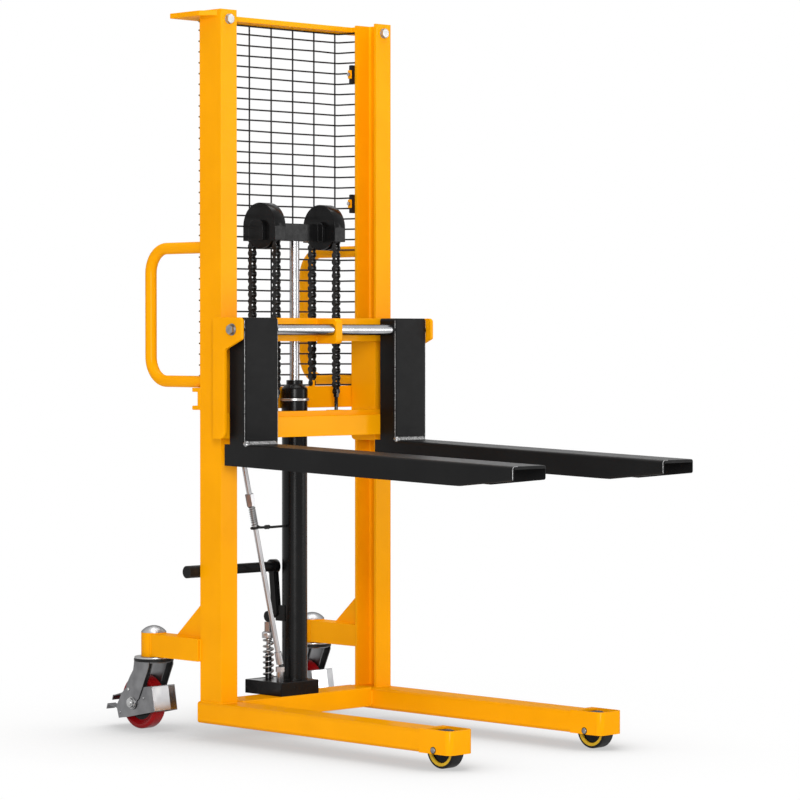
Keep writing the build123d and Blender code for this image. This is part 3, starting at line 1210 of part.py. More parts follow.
def rod_spring():
    """Return spring between the guide ring and the coupling nut."""
    bottom = on_rod(GUIDE_Z) + ROD_AXIS * (GUIDE_WIRE / 2 + HOLE_PLAY)
    height = (on_rod(ROD_COUPLING_Z) - bottom).length
    coil = helix_spring("rod_spring", ROD_SPRING, ROD_SPRING_WIRE, ROD_SPRING_TURNS, height)
    return Plane(bottom, x_dir=(1, 0, 0), z_dir=ROD_AXIS) * coil


def save(name, *shapes):
    """Write one node, all its solids moved so that the origin is under the middle."""
    solids = [solid for shape in shapes for solid in shape.solids()]
    node = solids[0] if len(solids) == 1 else Compound(solids)
    export_step(node.moved(Location((0, ORIGIN_SHIFT, 0))), os.path.join("parts", name + ".step"))


def save_frame():
    for name, side in SIDES.items():
        save("mast_" + name, column(side))
        save("leg_" + name, leg(side))
    save("top_plate", top_plate())
    save("rear_cross_beam", rear_beam())
    save("base_cross_beam", base_beam())
    save("caster_arms", *[caster_arm(side) for side in SIDES.values()])
    save("caster_caps", *[caster_cap(side) for side in SIDES.values()])
    save("caster_plates", *[caster_plate(side) for side in SIDES.values()])
    save("front_axles", *[front_axle(side) for side in SIDES.values()])
    save("handles", *[handle(side) for side in SIDES.values()])
    save("guard_mesh", *guard_mesh())
    save("mesh_clamps", *[mesh_clamp(*place) for place in clamp_places()],
         *[clamp_tab(*place) for place in clamp_places()])
    save("frame_bolts", *[stop_bolt(side) for side in SIDES.values()],
         *[clamp_bolt(*place) for place in clamp_places()])


def save_hydraulics():
    save("pump_block", pump_block())
    save("lift_cylinder", cylinder())
    save("cylinder_gland", gland())
    save("pump_lug", pump_lug())
    save("pump_pedal", pump_pedal())
    save("pedal_grip", pedal_grip())
    save("pump_plunger", pump_plunger())
    save("pump_spring", pump_spring())
    save("release_valve", release_valve())
    save("release_rod", release_rod())
    save("release_lever", release_lever())
    save("release_bracket", release_bracket())
    save("rod_guide", rod_guide())
    save("rod_spring", rod_spring())


def save_lift_head():
    save("piston_rod", piston_rod())
    save("head_crossbar", head_bar())
    save("pulley_covers", *[pulley_cover(side) for side in SIDES.values()])
    for name, side in SIDES.items():
        save("pulley_" + name, pulley(side))
    chains = {"rear_chains": straight_chain(REAR_CHAIN_Y, REAR_ANCHOR_Z),
              "front_chains": straight_chain(FRONT_CHAIN_Y, FRONT_ANCHOR_Z),
              "chain_wraps": chain_wrap()}
    for name, strand in chains.items():
        save(name, *[Pos(side * PULLEY_X) * strand for side in SIDES.values()])


def save_carriage():
    for name, side in SIDES.items():
        save("fork_" + name, fork(side))
        for level, height in ROLLER_HEIGHTS.items():
            save("roller_" + level + "_" + name, roller(side, height))
    save("carriage_sides", *[side_plate(side) for side in SIDES.values()])
    save("carriage_bars", upper_bar(), lower_bar())
    save("roller_plates", *[roller_plate(side) for side in SIDES.values()])
    save("front_beam", front_beam())
    save("fork_shaft", fork_shaft())
    save("shaft_bolts", *[shaft_bolt(side) for side in SIDES.values()])
    save("shaft_lug", shaft_lug())
    save("chain_anchor_bolts", *[anchor_bolt(side) for side in SIDES.values()])


def save_wheels():
    for name, side in SIDES.items():
        save("front_wheel_" + name, front_wheel(side))
        save("caster_fork_" + name, caster_fork(side))
        save("caster_wheel_" + name, caster_wheel(side))
        save("caster_brake_" + name, caster_brake(side))


def main():
    os.makedirs("parts", exist_ok=True)
    save_frame()
    save_hydraulics()
    save_lift_head()
    save_carriage()
    save_wheels()


if __name__ == "__main__":
    main()
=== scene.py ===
from math import ceil, cos, pi, radians, sin, sqrt, tan

import bmesh
import bpy
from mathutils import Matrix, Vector

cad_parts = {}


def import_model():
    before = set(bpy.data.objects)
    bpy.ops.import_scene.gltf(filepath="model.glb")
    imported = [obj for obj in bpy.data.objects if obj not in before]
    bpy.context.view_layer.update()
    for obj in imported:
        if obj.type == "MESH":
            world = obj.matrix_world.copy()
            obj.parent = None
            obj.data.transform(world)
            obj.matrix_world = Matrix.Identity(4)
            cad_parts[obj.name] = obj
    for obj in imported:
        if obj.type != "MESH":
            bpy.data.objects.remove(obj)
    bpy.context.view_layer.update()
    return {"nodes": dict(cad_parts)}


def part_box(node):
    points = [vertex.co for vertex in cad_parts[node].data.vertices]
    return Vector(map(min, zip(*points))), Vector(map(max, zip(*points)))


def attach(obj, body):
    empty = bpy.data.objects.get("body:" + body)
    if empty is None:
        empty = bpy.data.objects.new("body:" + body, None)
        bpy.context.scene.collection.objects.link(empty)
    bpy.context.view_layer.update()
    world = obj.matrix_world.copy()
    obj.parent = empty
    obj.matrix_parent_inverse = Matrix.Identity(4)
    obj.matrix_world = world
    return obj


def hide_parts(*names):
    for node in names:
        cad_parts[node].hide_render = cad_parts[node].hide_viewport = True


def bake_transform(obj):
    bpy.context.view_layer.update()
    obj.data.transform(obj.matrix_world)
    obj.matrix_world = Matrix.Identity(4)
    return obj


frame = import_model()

# Sizes and places are in millimetres, counted from the middle of the mast on the
# floor, as in the part's source. place() turns them into metres in the shared frame.
NODES = frame["nodes"]
SIDES = {"left": -1, "right": 1}
MAST_Y = sum(corner[1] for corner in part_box("mast_left")) / 2
X = Vector((1, 0, 0))
Y = Vector((0, 1, 0))
Z = Vector((0, 0, 1))


def place(point):
    return Vector((point[0] / 1000, point[1] / 1000 + MAST_Y, point[2] / 1000))


def span(node, axis):
    """Lowest and highest value of a CAD node along an axis, in millimetres from the mast."""
    low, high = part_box(node)
    shift = MAST_Y if axis == 1 else 0
    return (low[axis] - shift) * 1000, (high[axis] - shift) * 1000


# Materials

PATCH_RAMP = (0.35, 0.65)
PATCH_DETAIL = 4.0
GLOSS_RANGE = (0.3, 0.7)
GLOSS_DETAIL = 3.0
GLOSS_PER_GRAIN = 12
GRAIN_DETAIL = 2.0
RELIEF_DEPTH = 0.0004
COAT_ROUGHNESS = 0.2


def principled(name):
    material = bpy.data.materials.new(name)
    material.use_nodes = True
    nodes = material.node_tree.nodes
    links = material.node_tree.links
    shader = next(node for node in nodes if node.type == "BSDF_PRINCIPLED")
    return material, nodes, links, shader


def coordinates(nodes, links, scale):
    """Object coordinates, stretched along the axes."""
    source = nodes.new("ShaderNodeTexCoord")
    mapping = nodes.new("ShaderNodeMapping")
    mapping.inputs["Scale"].default_value = scale
    links.new(source.outputs["Object"], mapping.inputs["Vector"])
    return mapping.outputs["Vector"]


def noise(nodes, links, vector, scale, detail):
    texture = nodes.new("ShaderNodeTexNoise")
    texture.inputs["Scale"].default_value = scale
    texture.inputs["Detail"].default_value = detail
    links.new(vector, texture.inputs["Vector"])
    return texture.outputs["Fac"]


def colour_between(nodes, links, value, dark, light):
    """Colour that goes from dark to light with a noise value."""
    ramp = nodes.new("ShaderNodeValToRGB")
    ramp.color_ramp.elements[0].position = PATCH_RAMP[0]
    ramp.color_ramp.elements[0].color = (*dark, 1)
    ramp.color_ramp.elements[1].position = PATCH_RAMP[1]
    ramp.color_ramp.elements[1].color = (*light, 1)
    links.new(value, ramp.inputs["Fac"])
    return ramp.outputs["Color"]


def number_between(nodes, links, value, low, high):
    """Number that goes from low to high with a noise value."""
    fit = nodes.new("ShaderNodeMapRange")
    fit.inputs["From Min"].default_value = GLOSS_RANGE[0]
    fit.inputs["From Max"].default_value = GLOSS_RANGE[1]
    fit.inputs["To Min"].default_value = low
    fit.inputs["To Max"].default_value = high
    links.new(value, fit.inputs["Value"])
    return fit.outputs["Result"]


def bump(nodes, links, value, shader, strength):
    node = nodes.new("ShaderNodeBump")
    node.inputs["Strength"].default_value = strength
    node.inputs["Distance"].default_value = RELIEF_DEPTH
    links.new(value, node.inputs["Height"])
    links.new(node.outputs["Normal"], shader.inputs["Normal"])


def finish(name, dark, light, rough, grain, relief, metal=0.0, specular=0.5, coat=0.0, rim=1.0,
           patch=6.0, stretch=(1, 1, 1)):
    """Procedural finish: patchy colour, uneven gloss and a fine relief."""
    material, nodes, links, shader = principled(name)
    wide = coordinates(nodes, links, (1, 1, 1))
    fine = coordinates(nodes, links, stretch)
    mottle = noise(nodes, links, wide, patch, PATCH_DETAIL)
    links.new(colour_between(nodes, links, mottle, dark, light), shader.inputs["Base Color"])
    gloss = noise(nodes, links, fine, grain / GLOSS_PER_GRAIN, GLOSS_DETAIL)
    links.new(number_between(nodes, links, gloss, *rough), shader.inputs["Roughness"])
    bump(nodes, links, noise(nodes, links, fine, grain, GRAIN_DETAIL), shader, relief)
    shader.inputs["Metallic"].default_value = metal
    shader.inputs["Specular IOR Level"].default_value = specular
    shader.inputs["Specular Tint"].default_value = (rim, rim, rim, 1)
    shader.inputs["Coat Weight"].default_value = coat
    shader.inputs["Coat Roughness"].default_value = COAT_ROUGHNESS
    return material


YELLOW = finish("yellow_paint", (0.845, 0.335, 0.0012), (0.895, 0.362, 0.0018), (0.34, 0.44),
                specular=0.0, coat=0.10, grain=450.0, relief=0.08)
BLACK = finish("black_paint", (0.0030, 0.0030, 0.0032), (0.0052, 0.0052, 0.0054), (0.17, 0.26),
               specular=0.12, grain=900.0, relief=0.1)
FORK_BLACK = finish("black_fork_paint", (0.0030, 0.0030, 0.0032), (0.0052, 0.0052, 0.0054),
                    (0.38, 0.46), specular=0.12, grain=900.0, relief=0.1)
GLOSS_BLACK = finish("black_cylinder_paint", (0.0026, 0.0026, 0.0028), (0.0044, 0.0044, 0.0046),
                     (0.22, 0.30), specular=0.15, grain=500.0, relief=0.06)
CHROME = finish("chrome", (0.40, 0.40, 0.41), (0.48, 0.48, 0.49), (0.18, 0.25), metal=1.0,
                rim=0.0, patch=12.0, grain=300.0, relief=0.03, stretch=(1, 1, 0.2))
ROD = finish("bright_rod", (0.42, 0.42, 0.43), (0.50, 0.50, 0.51), (0.26, 0.34), metal=0.85,
             rim=0.0, patch=12.0, grain=300.0, relief=0.03)
PLATED = finish("plated_steel", (0.50, 0.50, 0.51), (0.60, 0.60, 0.61), (0.16, 0.24), metal=1.0,
                rim=0.2, patch=25.0, grain=300.0, relief=0.03)
CAP = finish("cap_chrome", (0.36, 0.36, 0.365), (0.46, 0.46, 0.465), (0.34, 0.42), metal=1.0,
             rim=0.1, patch=30.0, grain=300.0, relief=0.03)
ZINC = finish("zinc", (0.17, 0.17, 0.175), (0.23, 0.23, 0.235), (0.28, 0.38), metal=1.0,
              rim=0.5, patch=30.0, grain=420.0, relief=0.06)
STEEL = finish("steel", (0.40, 0.40, 0.40), (0.52, 0.52, 0.52), (0.26, 0.36), metal=0.9,
               rim=0.4, patch=60.0, grain=500.0, relief=0.04)
BOLT = finish("bolt_zinc", (0.22, 0.22, 0.225), (0.31, 0.31, 0.315), (0.28, 0.38), metal=0.9,
              rim=0.5, patch=80.0, grain=600.0, relief=0.05)
SPRING = finish("dark_spring_steel", (0.045, 0.045, 0.045), (0.08, 0.08, 0.08), (0.26, 0.38),
                metal=0.8, specular=0.2, rim=0.4, patch=80.0, grain=600.0, relief=0.05)
COIL = finish("spring_steel", (0.28, 0.28, 0.28), (0.38, 0.38, 0.38), (0.24, 0.36), metal=0.9,
              rim=0.5, patch=80.0, grain=600.0, relief=0.05)
# Light grey metal, used only on the forks: on the foot bead it is bare weld and partly painted
# reflection, on the thin corner and tip lines it is a painted highlight.
WELD = finish("weld", (0.12, 0.12, 0.12), (0.36, 0.36, 0.36), (0.25, 0.4), metal=0.8,
              patch=180.0, grain=600.0, relief=0.2)
CHAIN = finish("black_chain", (0.004, 0.004, 0.004), (0.010, 0.0097, 0.0094), (0.14, 0.22),
               specular=0.24, patch=120.0, grain=900.0, relief=0.06)
WIRE = finish("black_wire", (0.006, 0.006, 0.007), (0.012, 0.012, 0.013), (0.4, 0.55),
              specular=0.2, patch=40.0, grain=800.0, relief=0.15)
RED = finish("red_tread", (0.21, 0.0030, 0.0045), (0.28, 0.0050, 0.007), (0.2, 0.3),
             specular=0.14, patch=14.0, grain=500.0, relief=0.06)
GOLD = finish("wheel_core", (0.54, 0.34, 0.016), (0.62, 0.40, 0.024), (0.34, 0.45),
              specular=0.15, patch=30.0, grain=500.0, relief=0.1)
BLACK_TREAD = finish("black_tread", (0.0055, 0.0055, 0.0055), (0.011, 0.011, 0.011), (0.4, 0.55),
                     specular=0.15, patch=30.0, grain=600.0, relief=0.2)
RUBBER = finish("black_rubber", (0.006, 0.006, 0.006), (0.012, 0.012, 0.012), (0.42, 0.6),
                specular=0.16, patch=25.0, grain=700.0, relief=0.25)


# Shapes. Turned profiles are lists of (height, radius).

MITRE_LEAST = 0.3
HEAD_SIDES = 36
HEAD_CROWN = 0.475
HEAD_CHAMFER = 30
DOME_RIM = 0.15


class Shape:
    """Faces collected for one piece, in millimetres, each with its material's number."""

    def __init__(self):
        self.points = []
        self.faces = []
        self.finishes = []

    def add(self, skin, number=0):
        points, faces = skin
        start = len(self.points)
        self.points += points
        self.faces += [[start + corner for corner in face] for face in faces]
        self.finishes += [number] * len(faces)
        return self

    def make(self, name, *materials, sharp=35.0):
        mesh = bpy.data.meshes.new(name)
        mesh.from_pydata([place(point) for point in self.points], [], self.faces)
        for material in materials:
            mesh.materials.append(material)
        mesh.polygons.foreach_set("material_index", self.finishes)
        mesh.polygons.foreach_set("use_smooth", [True] * len(self.faces))
        shell = bmesh.new()
        shell.from_mesh(mesh)
        bmesh.ops.recalc_face_normals(shell, faces=shell.faces)
        shell.to_mesh(mesh)
        shell.free()
        mesh.set_sharp_from_angle(angle=radians(sharp))
        piece = bpy.data.objects.new(name, mesh)
        bpy.context.scene.collection.objects.link(piece)
        return piece


def rings(loops, closed=False):
    """Skin over loops of equally many points, with end caps unless it is closed."""
    count = len(loops[0])
    points = [point for loop in loops for point in loop]
    pairs = [(level, level + 1) for level in range(len(loops) - 1)]
    if closed:
        pairs.append((len(loops) - 1, 0))
    faces = []
    for low, high in pairs:
        for turn in range(count):
            after = (turn + 1) % count
            faces.append((low * count + turn, low * count + after,
                          high * count + after, high * count + turn))
    if not closed:
        faces.append(tuple(range(count - 1, -1, -1)))
        faces.append(tuple(range(len(points) - count, len(points))))
    return points, faces


def basis(axis):
    """Two directions square to an axis, right-handed."""
    axis = Vector(axis).normalized()
    helper = Z if abs(axis.z) < 0.9 else X
    u = helper.cross(axis).normalized()
    return axis, u, axis.cross(u)


def circle(centre, u, v, radius, sides):
    """Points round a centre in directions u and v."""
    angles = [2 * pi * turn / sides for turn in range(sides)]
    return [centre + (u * cos(a) + v * sin(a)) * radius for a in angles]


def turned(profile, centre, axis, sides=48, closed=False):
    """Skin turned about an axis through centre."""
    axis, u, v = basis(axis)
    centre = Vector(centre)
    loops = [circle(centre + axis * height, u, v, radius, sides) for height, radius in profile]
    return rings(loops, closed)


def arc(centre, radius, start, end, steps):
    """Profile points on an arc, with angles in degrees."""
    points = []
    for step in range(steps + 1):
        angle = radians(start + (end - start) * step / steps)
        points.append((centre[0] + radius * cos(angle), centre[1] + radius * sin(angle)))
    return points


def mirrored(profile):
    """Profile (height, radius) with its mirror image, for a wheel."""
    return profile + [(-height, radius) for height, radius in reversed(profile)]


def tube(path, radius, sides=8, closed=False):
    """Round skin along points, carried on without twist."""
    path = [Vector(point) for point in path]
    count = len(path)
    ways = []
    for turn in range(count):
        before = path[turn - 1] if turn or closed else path[0]
        after = path[(turn + 1) % count] if turn < count - 1 or closed else path[-1]
        ways.append((after - before).normalized())
    _, u, _ = basis(ways[0])
    loops = []
    for point, way in zip(path, ways):
        u = (u - way * u.dot(way)).normalized()
        loops.append(circle(point, u, way.cross(u), radius, sides))
    return rings(loops, closed)


def inset(outline, size):
    """Closed outline (u, v), turning left, moved inwards by a size."""
    moved = []
    count = len(outline)
    for turn in range(count):
        a, b, c = (Vector(outline[(turn + step) % count]) for step in (-1, 0, 1))
        first = (b - a).normalized()
        second = (c - b).normalized()
        normal_one = Vector((-first.y, first.x))
        normal_two = Vector((-second.y, second.x))
        middle = normal_one + normal_two
        moved.append(b + middle * (size / max(MITRE_LEAST, middle.dot(normal_one))))
    return moved


def slab(outline, origin, u, v, depth, edge):
    """Plate over an outline in directions u and v, with broken edges."""
    origin, u, v = Vector(origin), Vector(u), Vector(v)
    normal = u.cross(v).normalized()
    small = inset(outline, edge)
    loops = []
    for shape, height in ((small, 0), (outline, edge), (outline, depth - edge), (small, depth)):
        loops.append([origin + u * p[0] + v * p[1] + normal * height for p in shape])
    return rings(loops)


def brick(x, y, z, edge):
    """Block over three spans, with broken edges."""
    outline = [(x[0], y[0]), (x[1], y[0]), (x[1], y[1]), (x[0], y[1])]
    return slab(outline, Z * z[0], X, Y, z[1] - z[0], edge)


def hexagon_head(centre, axis, flats, height):
    """Hexagon head with the round chamfer that real bolts have."""
    axis, u, v = basis(axis)
    centre = Vector(centre)
    crown = HEAD_CROWN * flats
    loops = [[], [], []]
    for turn in range(HEAD_SIDES):
        angle = 2 * pi * turn / HEAD_SIDES
        wedge = (angle + pi / 6) % (pi / 3) - pi / 6
        reach = flats / 2 / cos(wedge)
        way = u * cos(angle) + v * sin(angle)
        top = height - (reach - crown) * tan(radians(HEAD_CHAMFER))
        loops[0].append(centre + way * reach)
        loops[1].append(centre + way * reach + axis * top)
        loops[2].append(centre + way * crown + axis * height)
    return rings(loops)


def dome(centre, axis, radius, rise, sides=24):
    """Low round head on a thin rim."""
    profile = [(0, radius), (DOME_RIM * rise, radius)]
    profile += [(rise * (DOME_RIM + (1 - DOME_RIM) * sin(radians(a))), radius * cos(radians(a)))
                for a in range(15, 86, 14)]
    return turned(profile, centre, axis, sides)


def spread(side, near, far):
    """Span along X from near to far on one side of the machine."""
    return tuple(sorted((side * near, side * far)))


# Places on the frame that several pieces share

COLUMN_IN = 263.0
COLUMN_OUT = 321.0
COLUMN_BACK = 43.5
COLUMN_FLANGE = 9.0
LIFT_Y = 12.0
HEAD_Z = 1398.0
FRONT_AXLE = Vector((284, -861, 49))
CASTER_AXLE = Vector((301, 307, 75))
CASTER_SWIVEL = Vector((301, 264, 0))


def on_side(side, point):
    """A point of the right side, on either side."""
    return Vector((side * point.x, point.y, point.z))


# Guard mesh of welded wire

MESH_WIRE = 4.6
# From the CAD mesh up to the top plate, and outwards behind the columns
MESH_TOP_GAP = 24.0
MESH_TUCK = 8.0
MESH_FIRST = -237.0
MESH_COLUMN_PITCH = 82.0
MESH_COLUMNS = 7
MESH_ROW_PITCH = 29.6
MESH_OPEN_END = 0.2
# Step from the uprights to the lying wires, and the lap of their ends, in wires
MESH_PRESSED = 0.8
MESH_LAP = 0.8
MESH_END_GAP = 0.3
# Unevenness of the lying wires: rise, its turn from row to row, its length, and play to the back
MESH_SWAY = 0.9
MESH_SWAY_TURN = 2.3
MESH_SWAY_LENGTH = 90.0
MESH_PLAY = 0.5
# Bend of a lying wire: steps outwards and forwards from the corner, and the share of its sway
MESH_KNEE = ((2.0, 8.0, 0.3), (1.1, 3.5, 0.35), (-1.6, 0.7, 0.4), (-6.0, 0.0, 0.5))


def guard_mesh():
    bottom, top = span("guard_mesh", 2)
    front, back = span("guard_mesh", 1)
    reach = span("guard_mesh", 0)[1]
    radius = MESH_WIRE / 2
    height = top - bottom - MESH_WIRE
    rows = round(height / MESH_ROW_PITCH)
    heights = [bottom + radius + height * row / rows for row in range(rows + 1)]
    ceiling = top + MESH_TOP_GAP
    heights.append(ceiling - radius)
    upright_y = back - radius
    lying_y = upright_y - MESH_PRESSED * MESH_WIRE
    uprights = [MESH_FIRST + turn * MESH_COLUMN_PITCH for turn in range(MESH_COLUMNS)]
    posts = [(x, upright_y) for x in uprights]
    posts += [(side * (reach - radius + MESH_TUCK), front + radius) for side in SIDES.values()]
    shape = Shape()
    for x, y in posts:
        shape.add(tube([(x, y, bottom + MESH_OPEN_END), (x, y, ceiling)], radius))
    for row, z in enumerate(heights):
        sway = MESH_SWAY * sin(MESH_SWAY_TURN * row)
        knees = []
        for side in SIDES.values():
            knee = [(side * (reach - MESH_LAP * MESH_WIRE + MESH_TUCK), front + MESH_END_GAP, z)]
            knee += [(side * COLUMN_IN + side * out, lying_y - ahead, z + share * sway)
                     for out, ahead, share in MESH_KNEE]
            knees.append(knee)
        middle = [(x, lying_y + MESH_PLAY * sin(row + x), z + sway * cos(x / MESH_SWAY_LENGTH + row))
                  for x in uprights[1:-1]]
        shape.add(tube(knees[0] + middle + knees[1][::-1], radius))
    piece = shape.make("guard_wires", WIRE, sharp=60)
    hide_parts("guard_mesh")
    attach(piece, "frame")


CLAMP_HEIGHTS = (1841.0, 1473.0)
CLAMP_STRIP = (251.0, 273.0)
CLAMP_STRIP_HALF = 26.5
CLAMP_TAB = (246.0, 251.4)
CLAMP_TAB_HALF = 12.0
CLAMP_Y = (43.5, 54.5)


def clamps():
    """Rubber strips that hold the net, each with a painted tab."""
    shape = Shape()
    for side in SIDES.values():
        for z in CLAMP_HEIGHTS:
            tall = (z - CLAMP_STRIP_HALF, z + CLAMP_STRIP_HALF)
            low = (z - CLAMP_TAB_HALF, z + CLAMP_TAB_HALF)
            shape.add(brick(spread(side, *CLAMP_STRIP), CLAMP_Y, tall, edge=1.2), 0)
            shape.add(brick(spread(side, *CLAMP_TAB), CLAMP_Y, low, edge=1.0), 1)
    piece = shape.make("clamp_strips", RUBBER, YELLOW)
    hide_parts("mesh_clamps")
    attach(piece, "frame")


# Roller chains

CHAIN_PITCH = 19.05
CHAIN_X = 113.0
CHAIN_RADIUS = 49.5
CHAIN_INSIDE = 9.5
CHAIN_PLATE = 2.2
LINK_RADIUS = 9.0
LINK_TIP = 7.65
LINK_EDGE = 0.35
PIN_RADIUS = 2.9
PIN_PROUD = 0.5
ROLLER_RADIUS = 5.5
ROLLER_PLAY = 0.15


def link_outline():
    """Figure-of-eight plate from pin to pin, turning left in (across, along)."""
    ends = [(LINK_RADIUS * cos(radians(a)), LINK_RADIUS * sin(radians(a)))
            for a in (-70, -50, -30, -10)]
    waist = [(0.95 * LINK_RADIUS, 0.3 * LINK_RADIUS), (0.69 * LINK_RADIUS, 0.37 * CHAIN_PITCH)]
    lower = ends + waist + [(0.62 * LINK_RADIUS, CHAIN_PITCH / 2)]
    right = lower + [(u, CHAIN_PITCH - v) for u, v in reversed(ends + waist)]
    return right + [(-u, v) for u, v in reversed(right)]


LINK = link_outline()


def add_chain(shape, x, places):
    """Inner and outer links in turn, with rollers and riveted pins at the joints."""
    inner = CHAIN_INSIDE / 2
    pin = inner + 2 * CHAIN_PLATE + PIN_PROUD
    rivet = mirrored([(-pin, 1.5), (-pin + 0.2, 2.3), (-pin + 1, PIN_RADIUS)])
    edge = inner - ROLLER_PLAY
    roller = mirrored([(-edge, PIN_RADIUS), (-edge, 5.2), (-edge + 0.3, ROLLER_RADIUS)])
    for turn, (y, z, lean) in enumerate(places):
        along = Vector((0, -sin(lean), cos(lean)))
        across = Vector((0, cos(lean), sin(lean)))
        origin = Vector((x, y, z))
        near = inner if turn % 2 == 0 else inner + CHAIN_PLATE
        for offset in (near, -near - CHAIN_PLATE):
            shape.add(slab(LINK, origin + X * offset, across, along, CHAIN_PLATE, LINK_EDGE))
        shape.add(turned(rivet, origin, X, 12))
        if turn:
            shape.add(turned(roller, origin, X, 14))


def strand_places(y, bottom):
    """Place (Y, Z, lean) of each link of an upright strand."""
    count = int((HEAD_Z - bottom) / CHAIN_PITCH)
    return [(y, bottom + turn * CHAIN_PITCH, 0.0) for turn in range(count)]


def wrap_places():
    """Place of each link over the pulley."""
    per_turn = 2 * pi * CHAIN_RADIUS / CHAIN_PITCH
    count = int(per_turn / 2)
    angle = 2 * pi / per_turn
    start = (pi - count * angle) / 2
    places = []
    for turn in range(count):
        at = start + turn * angle
        places.append((LIFT_Y + CHAIN_RADIUS * cos(at), HEAD_Z + CHAIN_RADIUS * sin(at),
                       start + (turn + 0.5) * angle))
    return places


def chain_pair(name, places):
    """The same chain on both sides, as one piece."""
    shape = Shape()
    for side in SIDES.values():
        add_chain(shape, side * CHAIN_X, places)
    return shape.make(name + "_chain_links", CHAIN, sharp=40)


def chains():
    rear_z = span("rear_chains", 2)[0] + LINK_TIP
    front_z = span("front_chains", 2)[0] + LINK_TIP
    strands = {"rear": (LIFT_Y + CHAIN_RADIUS, rear_z, "frame"),
               "front": (LIFT_Y - CHAIN_RADIUS, front_z, "carriage")}
    for name, (y, bottom, body) in strands.items():
        piece = chain_pair(name, strand_places(y, bottom))
        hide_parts(name + "_chains")
        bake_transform(piece)
    piece = chain_pair("wrap", wrap_places())
    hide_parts("chain_wraps")
    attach(piece, "lift_head")


# Springs, and the release rod's guide and stem

PUMP_X = -34.0
PUMP_Y = 84.0
ROD_FOOT = Vector((-71, -5, 186))
ROD_HEAD = Vector((-208, 24, 866))
ROD_AXIS = (ROD_HEAD - ROD_FOOT).normalized()
ROD_RADIUS = 7.0
GUIDE_Z = 567.0
GUIDE_STEP = 3.9
GUIDE_RADIUS = 3.5
GUIDE_PLAY = 0.5
GUIDE_SIDES = 12
GUIDE_STOP = 34.0
COUPLING_Z = 627.0
# Outer width, wire and turns
PUMP_COIL = (32.0, 6.0, 7)
ROD_COIL = (20.0, 2.8, 9)
COIL_STEPS = 28
COIL_SIDES = 10
COIL_END_TURNS = 1.2
COIL_CLOSE = 0.45
COIL_FLATTEN = 0.6


def on_rod(z, beyond=0.0):
    """Point on the release rod's axis at a height, and a way beyond it."""
    return ROD_FOOT + ROD_AXIS * ((z - ROD_FOOT.z) / ROD_AXIS.z + beyond)


def coil(centre, axis, outer, wire, turns, height):
    """Compression spring with closed, flattened end turns."""
    axis, u, v = basis(axis)
    centre = Vector(centre)
    radius = (outer - wire) / 2
    rise = height - wire
    steps = turns * COIL_STEPS
    points = []
    for step in range(steps + 1):
        share = step / steps
        angle = 2 * pi * turns * share
        done = share * turns
        left = turns - done
        low = min(1.0, done / COIL_END_TURNS)
        high = min(1.0, left / COIL_END_TURNS)
        lift = wire / 2 + rise * share
        lift += (1 - low) * (wire * COIL_CLOSE * done - rise * share) * COIL_FLATTEN
        lift -= (1 - high) * (wire * COIL_CLOSE * left - rise * (1 - share)) * COIL_FLATTEN
        points.append(centre + axis * lift + (u * cos(angle) + v * sin(angle)) * radius)
    return tube(points, wire / 2, COIL_SIDES)


def springs():
    bottom, top = span("pump_spring", 2)
    shape = Shape().add(coil((PUMP_X, PUMP_Y, bottom), Z, *PUMP_COIL, top - bottom))
    piece = shape.make("pump_spring_coil", COIL, sharp=60)
    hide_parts("pump_spring")
    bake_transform(piece)
    start = on_rod(GUIDE_Z, GUIDE_STEP)
    end = on_rod(COUPLING_Z)
    shape = Shape().add(coil(start, ROD_AXIS, *ROD_COIL, (end - start).length))
    piece = shape.make("rod_spring_coil", SPRING, sharp=60)
    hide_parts("rod_spring")
    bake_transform(piece)


def rod_guide():
    """Coated wire from the cylinder to a ring round the rod, twisted near the ring."""
    _, u, v = basis(ROD_HEAD - ROD_FOOT)
    centre = on_rod(GUIDE_Z)
    reach = ROD_RADIUS + GUIDE_PLAY + GUIDE_RADIUS
    loop = circle(centre, u, v, reach, 32)
    hub = Vector((0, LIFT_Y, GUIDE_Z))
    way = (hub - centre).normalized()
    start = centre + way * reach
    end = hub - way * GUIDE_STOP
    shape = Shape().add(tube(loop, GUIDE_RADIUS, GUIDE_SIDES, closed=True))
    shape.add(tube([start, start.lerp(end, 0.5) - Z, end], GUIDE_RADIUS, GUIDE_SIDES))
    knot = [(-6, 2), (-5, 4.5), (-2, 6), (2, 6), (5, 4.5), (6, 2)]
    for share in (0.28, 0.36):
        shape.add(turned(knot, start.lerp(end, share), way + Z * (0.6 - share), 16))
    piece = shape.make("guide_wire", RUBBER, sharp=60)
    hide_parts("rod_guide")
    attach(piece, "frame")


def valve_stem():
    """Dark stem that enters the release valve below the rod's socket."""
    stem = turned([(-16, 4.2), (-16, 4.8), (6, 4.8), (6, 4.2)], ROD_FOOT, ROD_AXIS, 20)
    piece = Shape().add(stem).make("release_stem", SPRING)
    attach(piece, "release_rod")


# Wheels

def front_wheel(side):
    """Rubber tyre on a moulded core, with a recessed hub."""
    centre = on_side(side, FRONT_AXLE)
    shape = Shape()
    tread = [(-20, 43)] + arc((-15.5, 44.5), 4.5, 180, 90, 6)
    shape.add(turned(mirrored(tread), centre, X, 64, closed=True), 0)
    core = [(-18.4, 34.5), (-19.6, 35.5), (-19.6, 42.2), (-19, 43)]
    shape.add(turned(mirrored(core), centre, X, 64, closed=True), 1)
    hub = [(-20, 6.2), (-20, 12), (-19.2, 12.8), (-13.5, 14), (-13, 15), (-13, 33.2), (-14, 34.5)]
    shape.add(turned(mirrored(hub), centre, X, 48, closed=True), 2)
    return shape


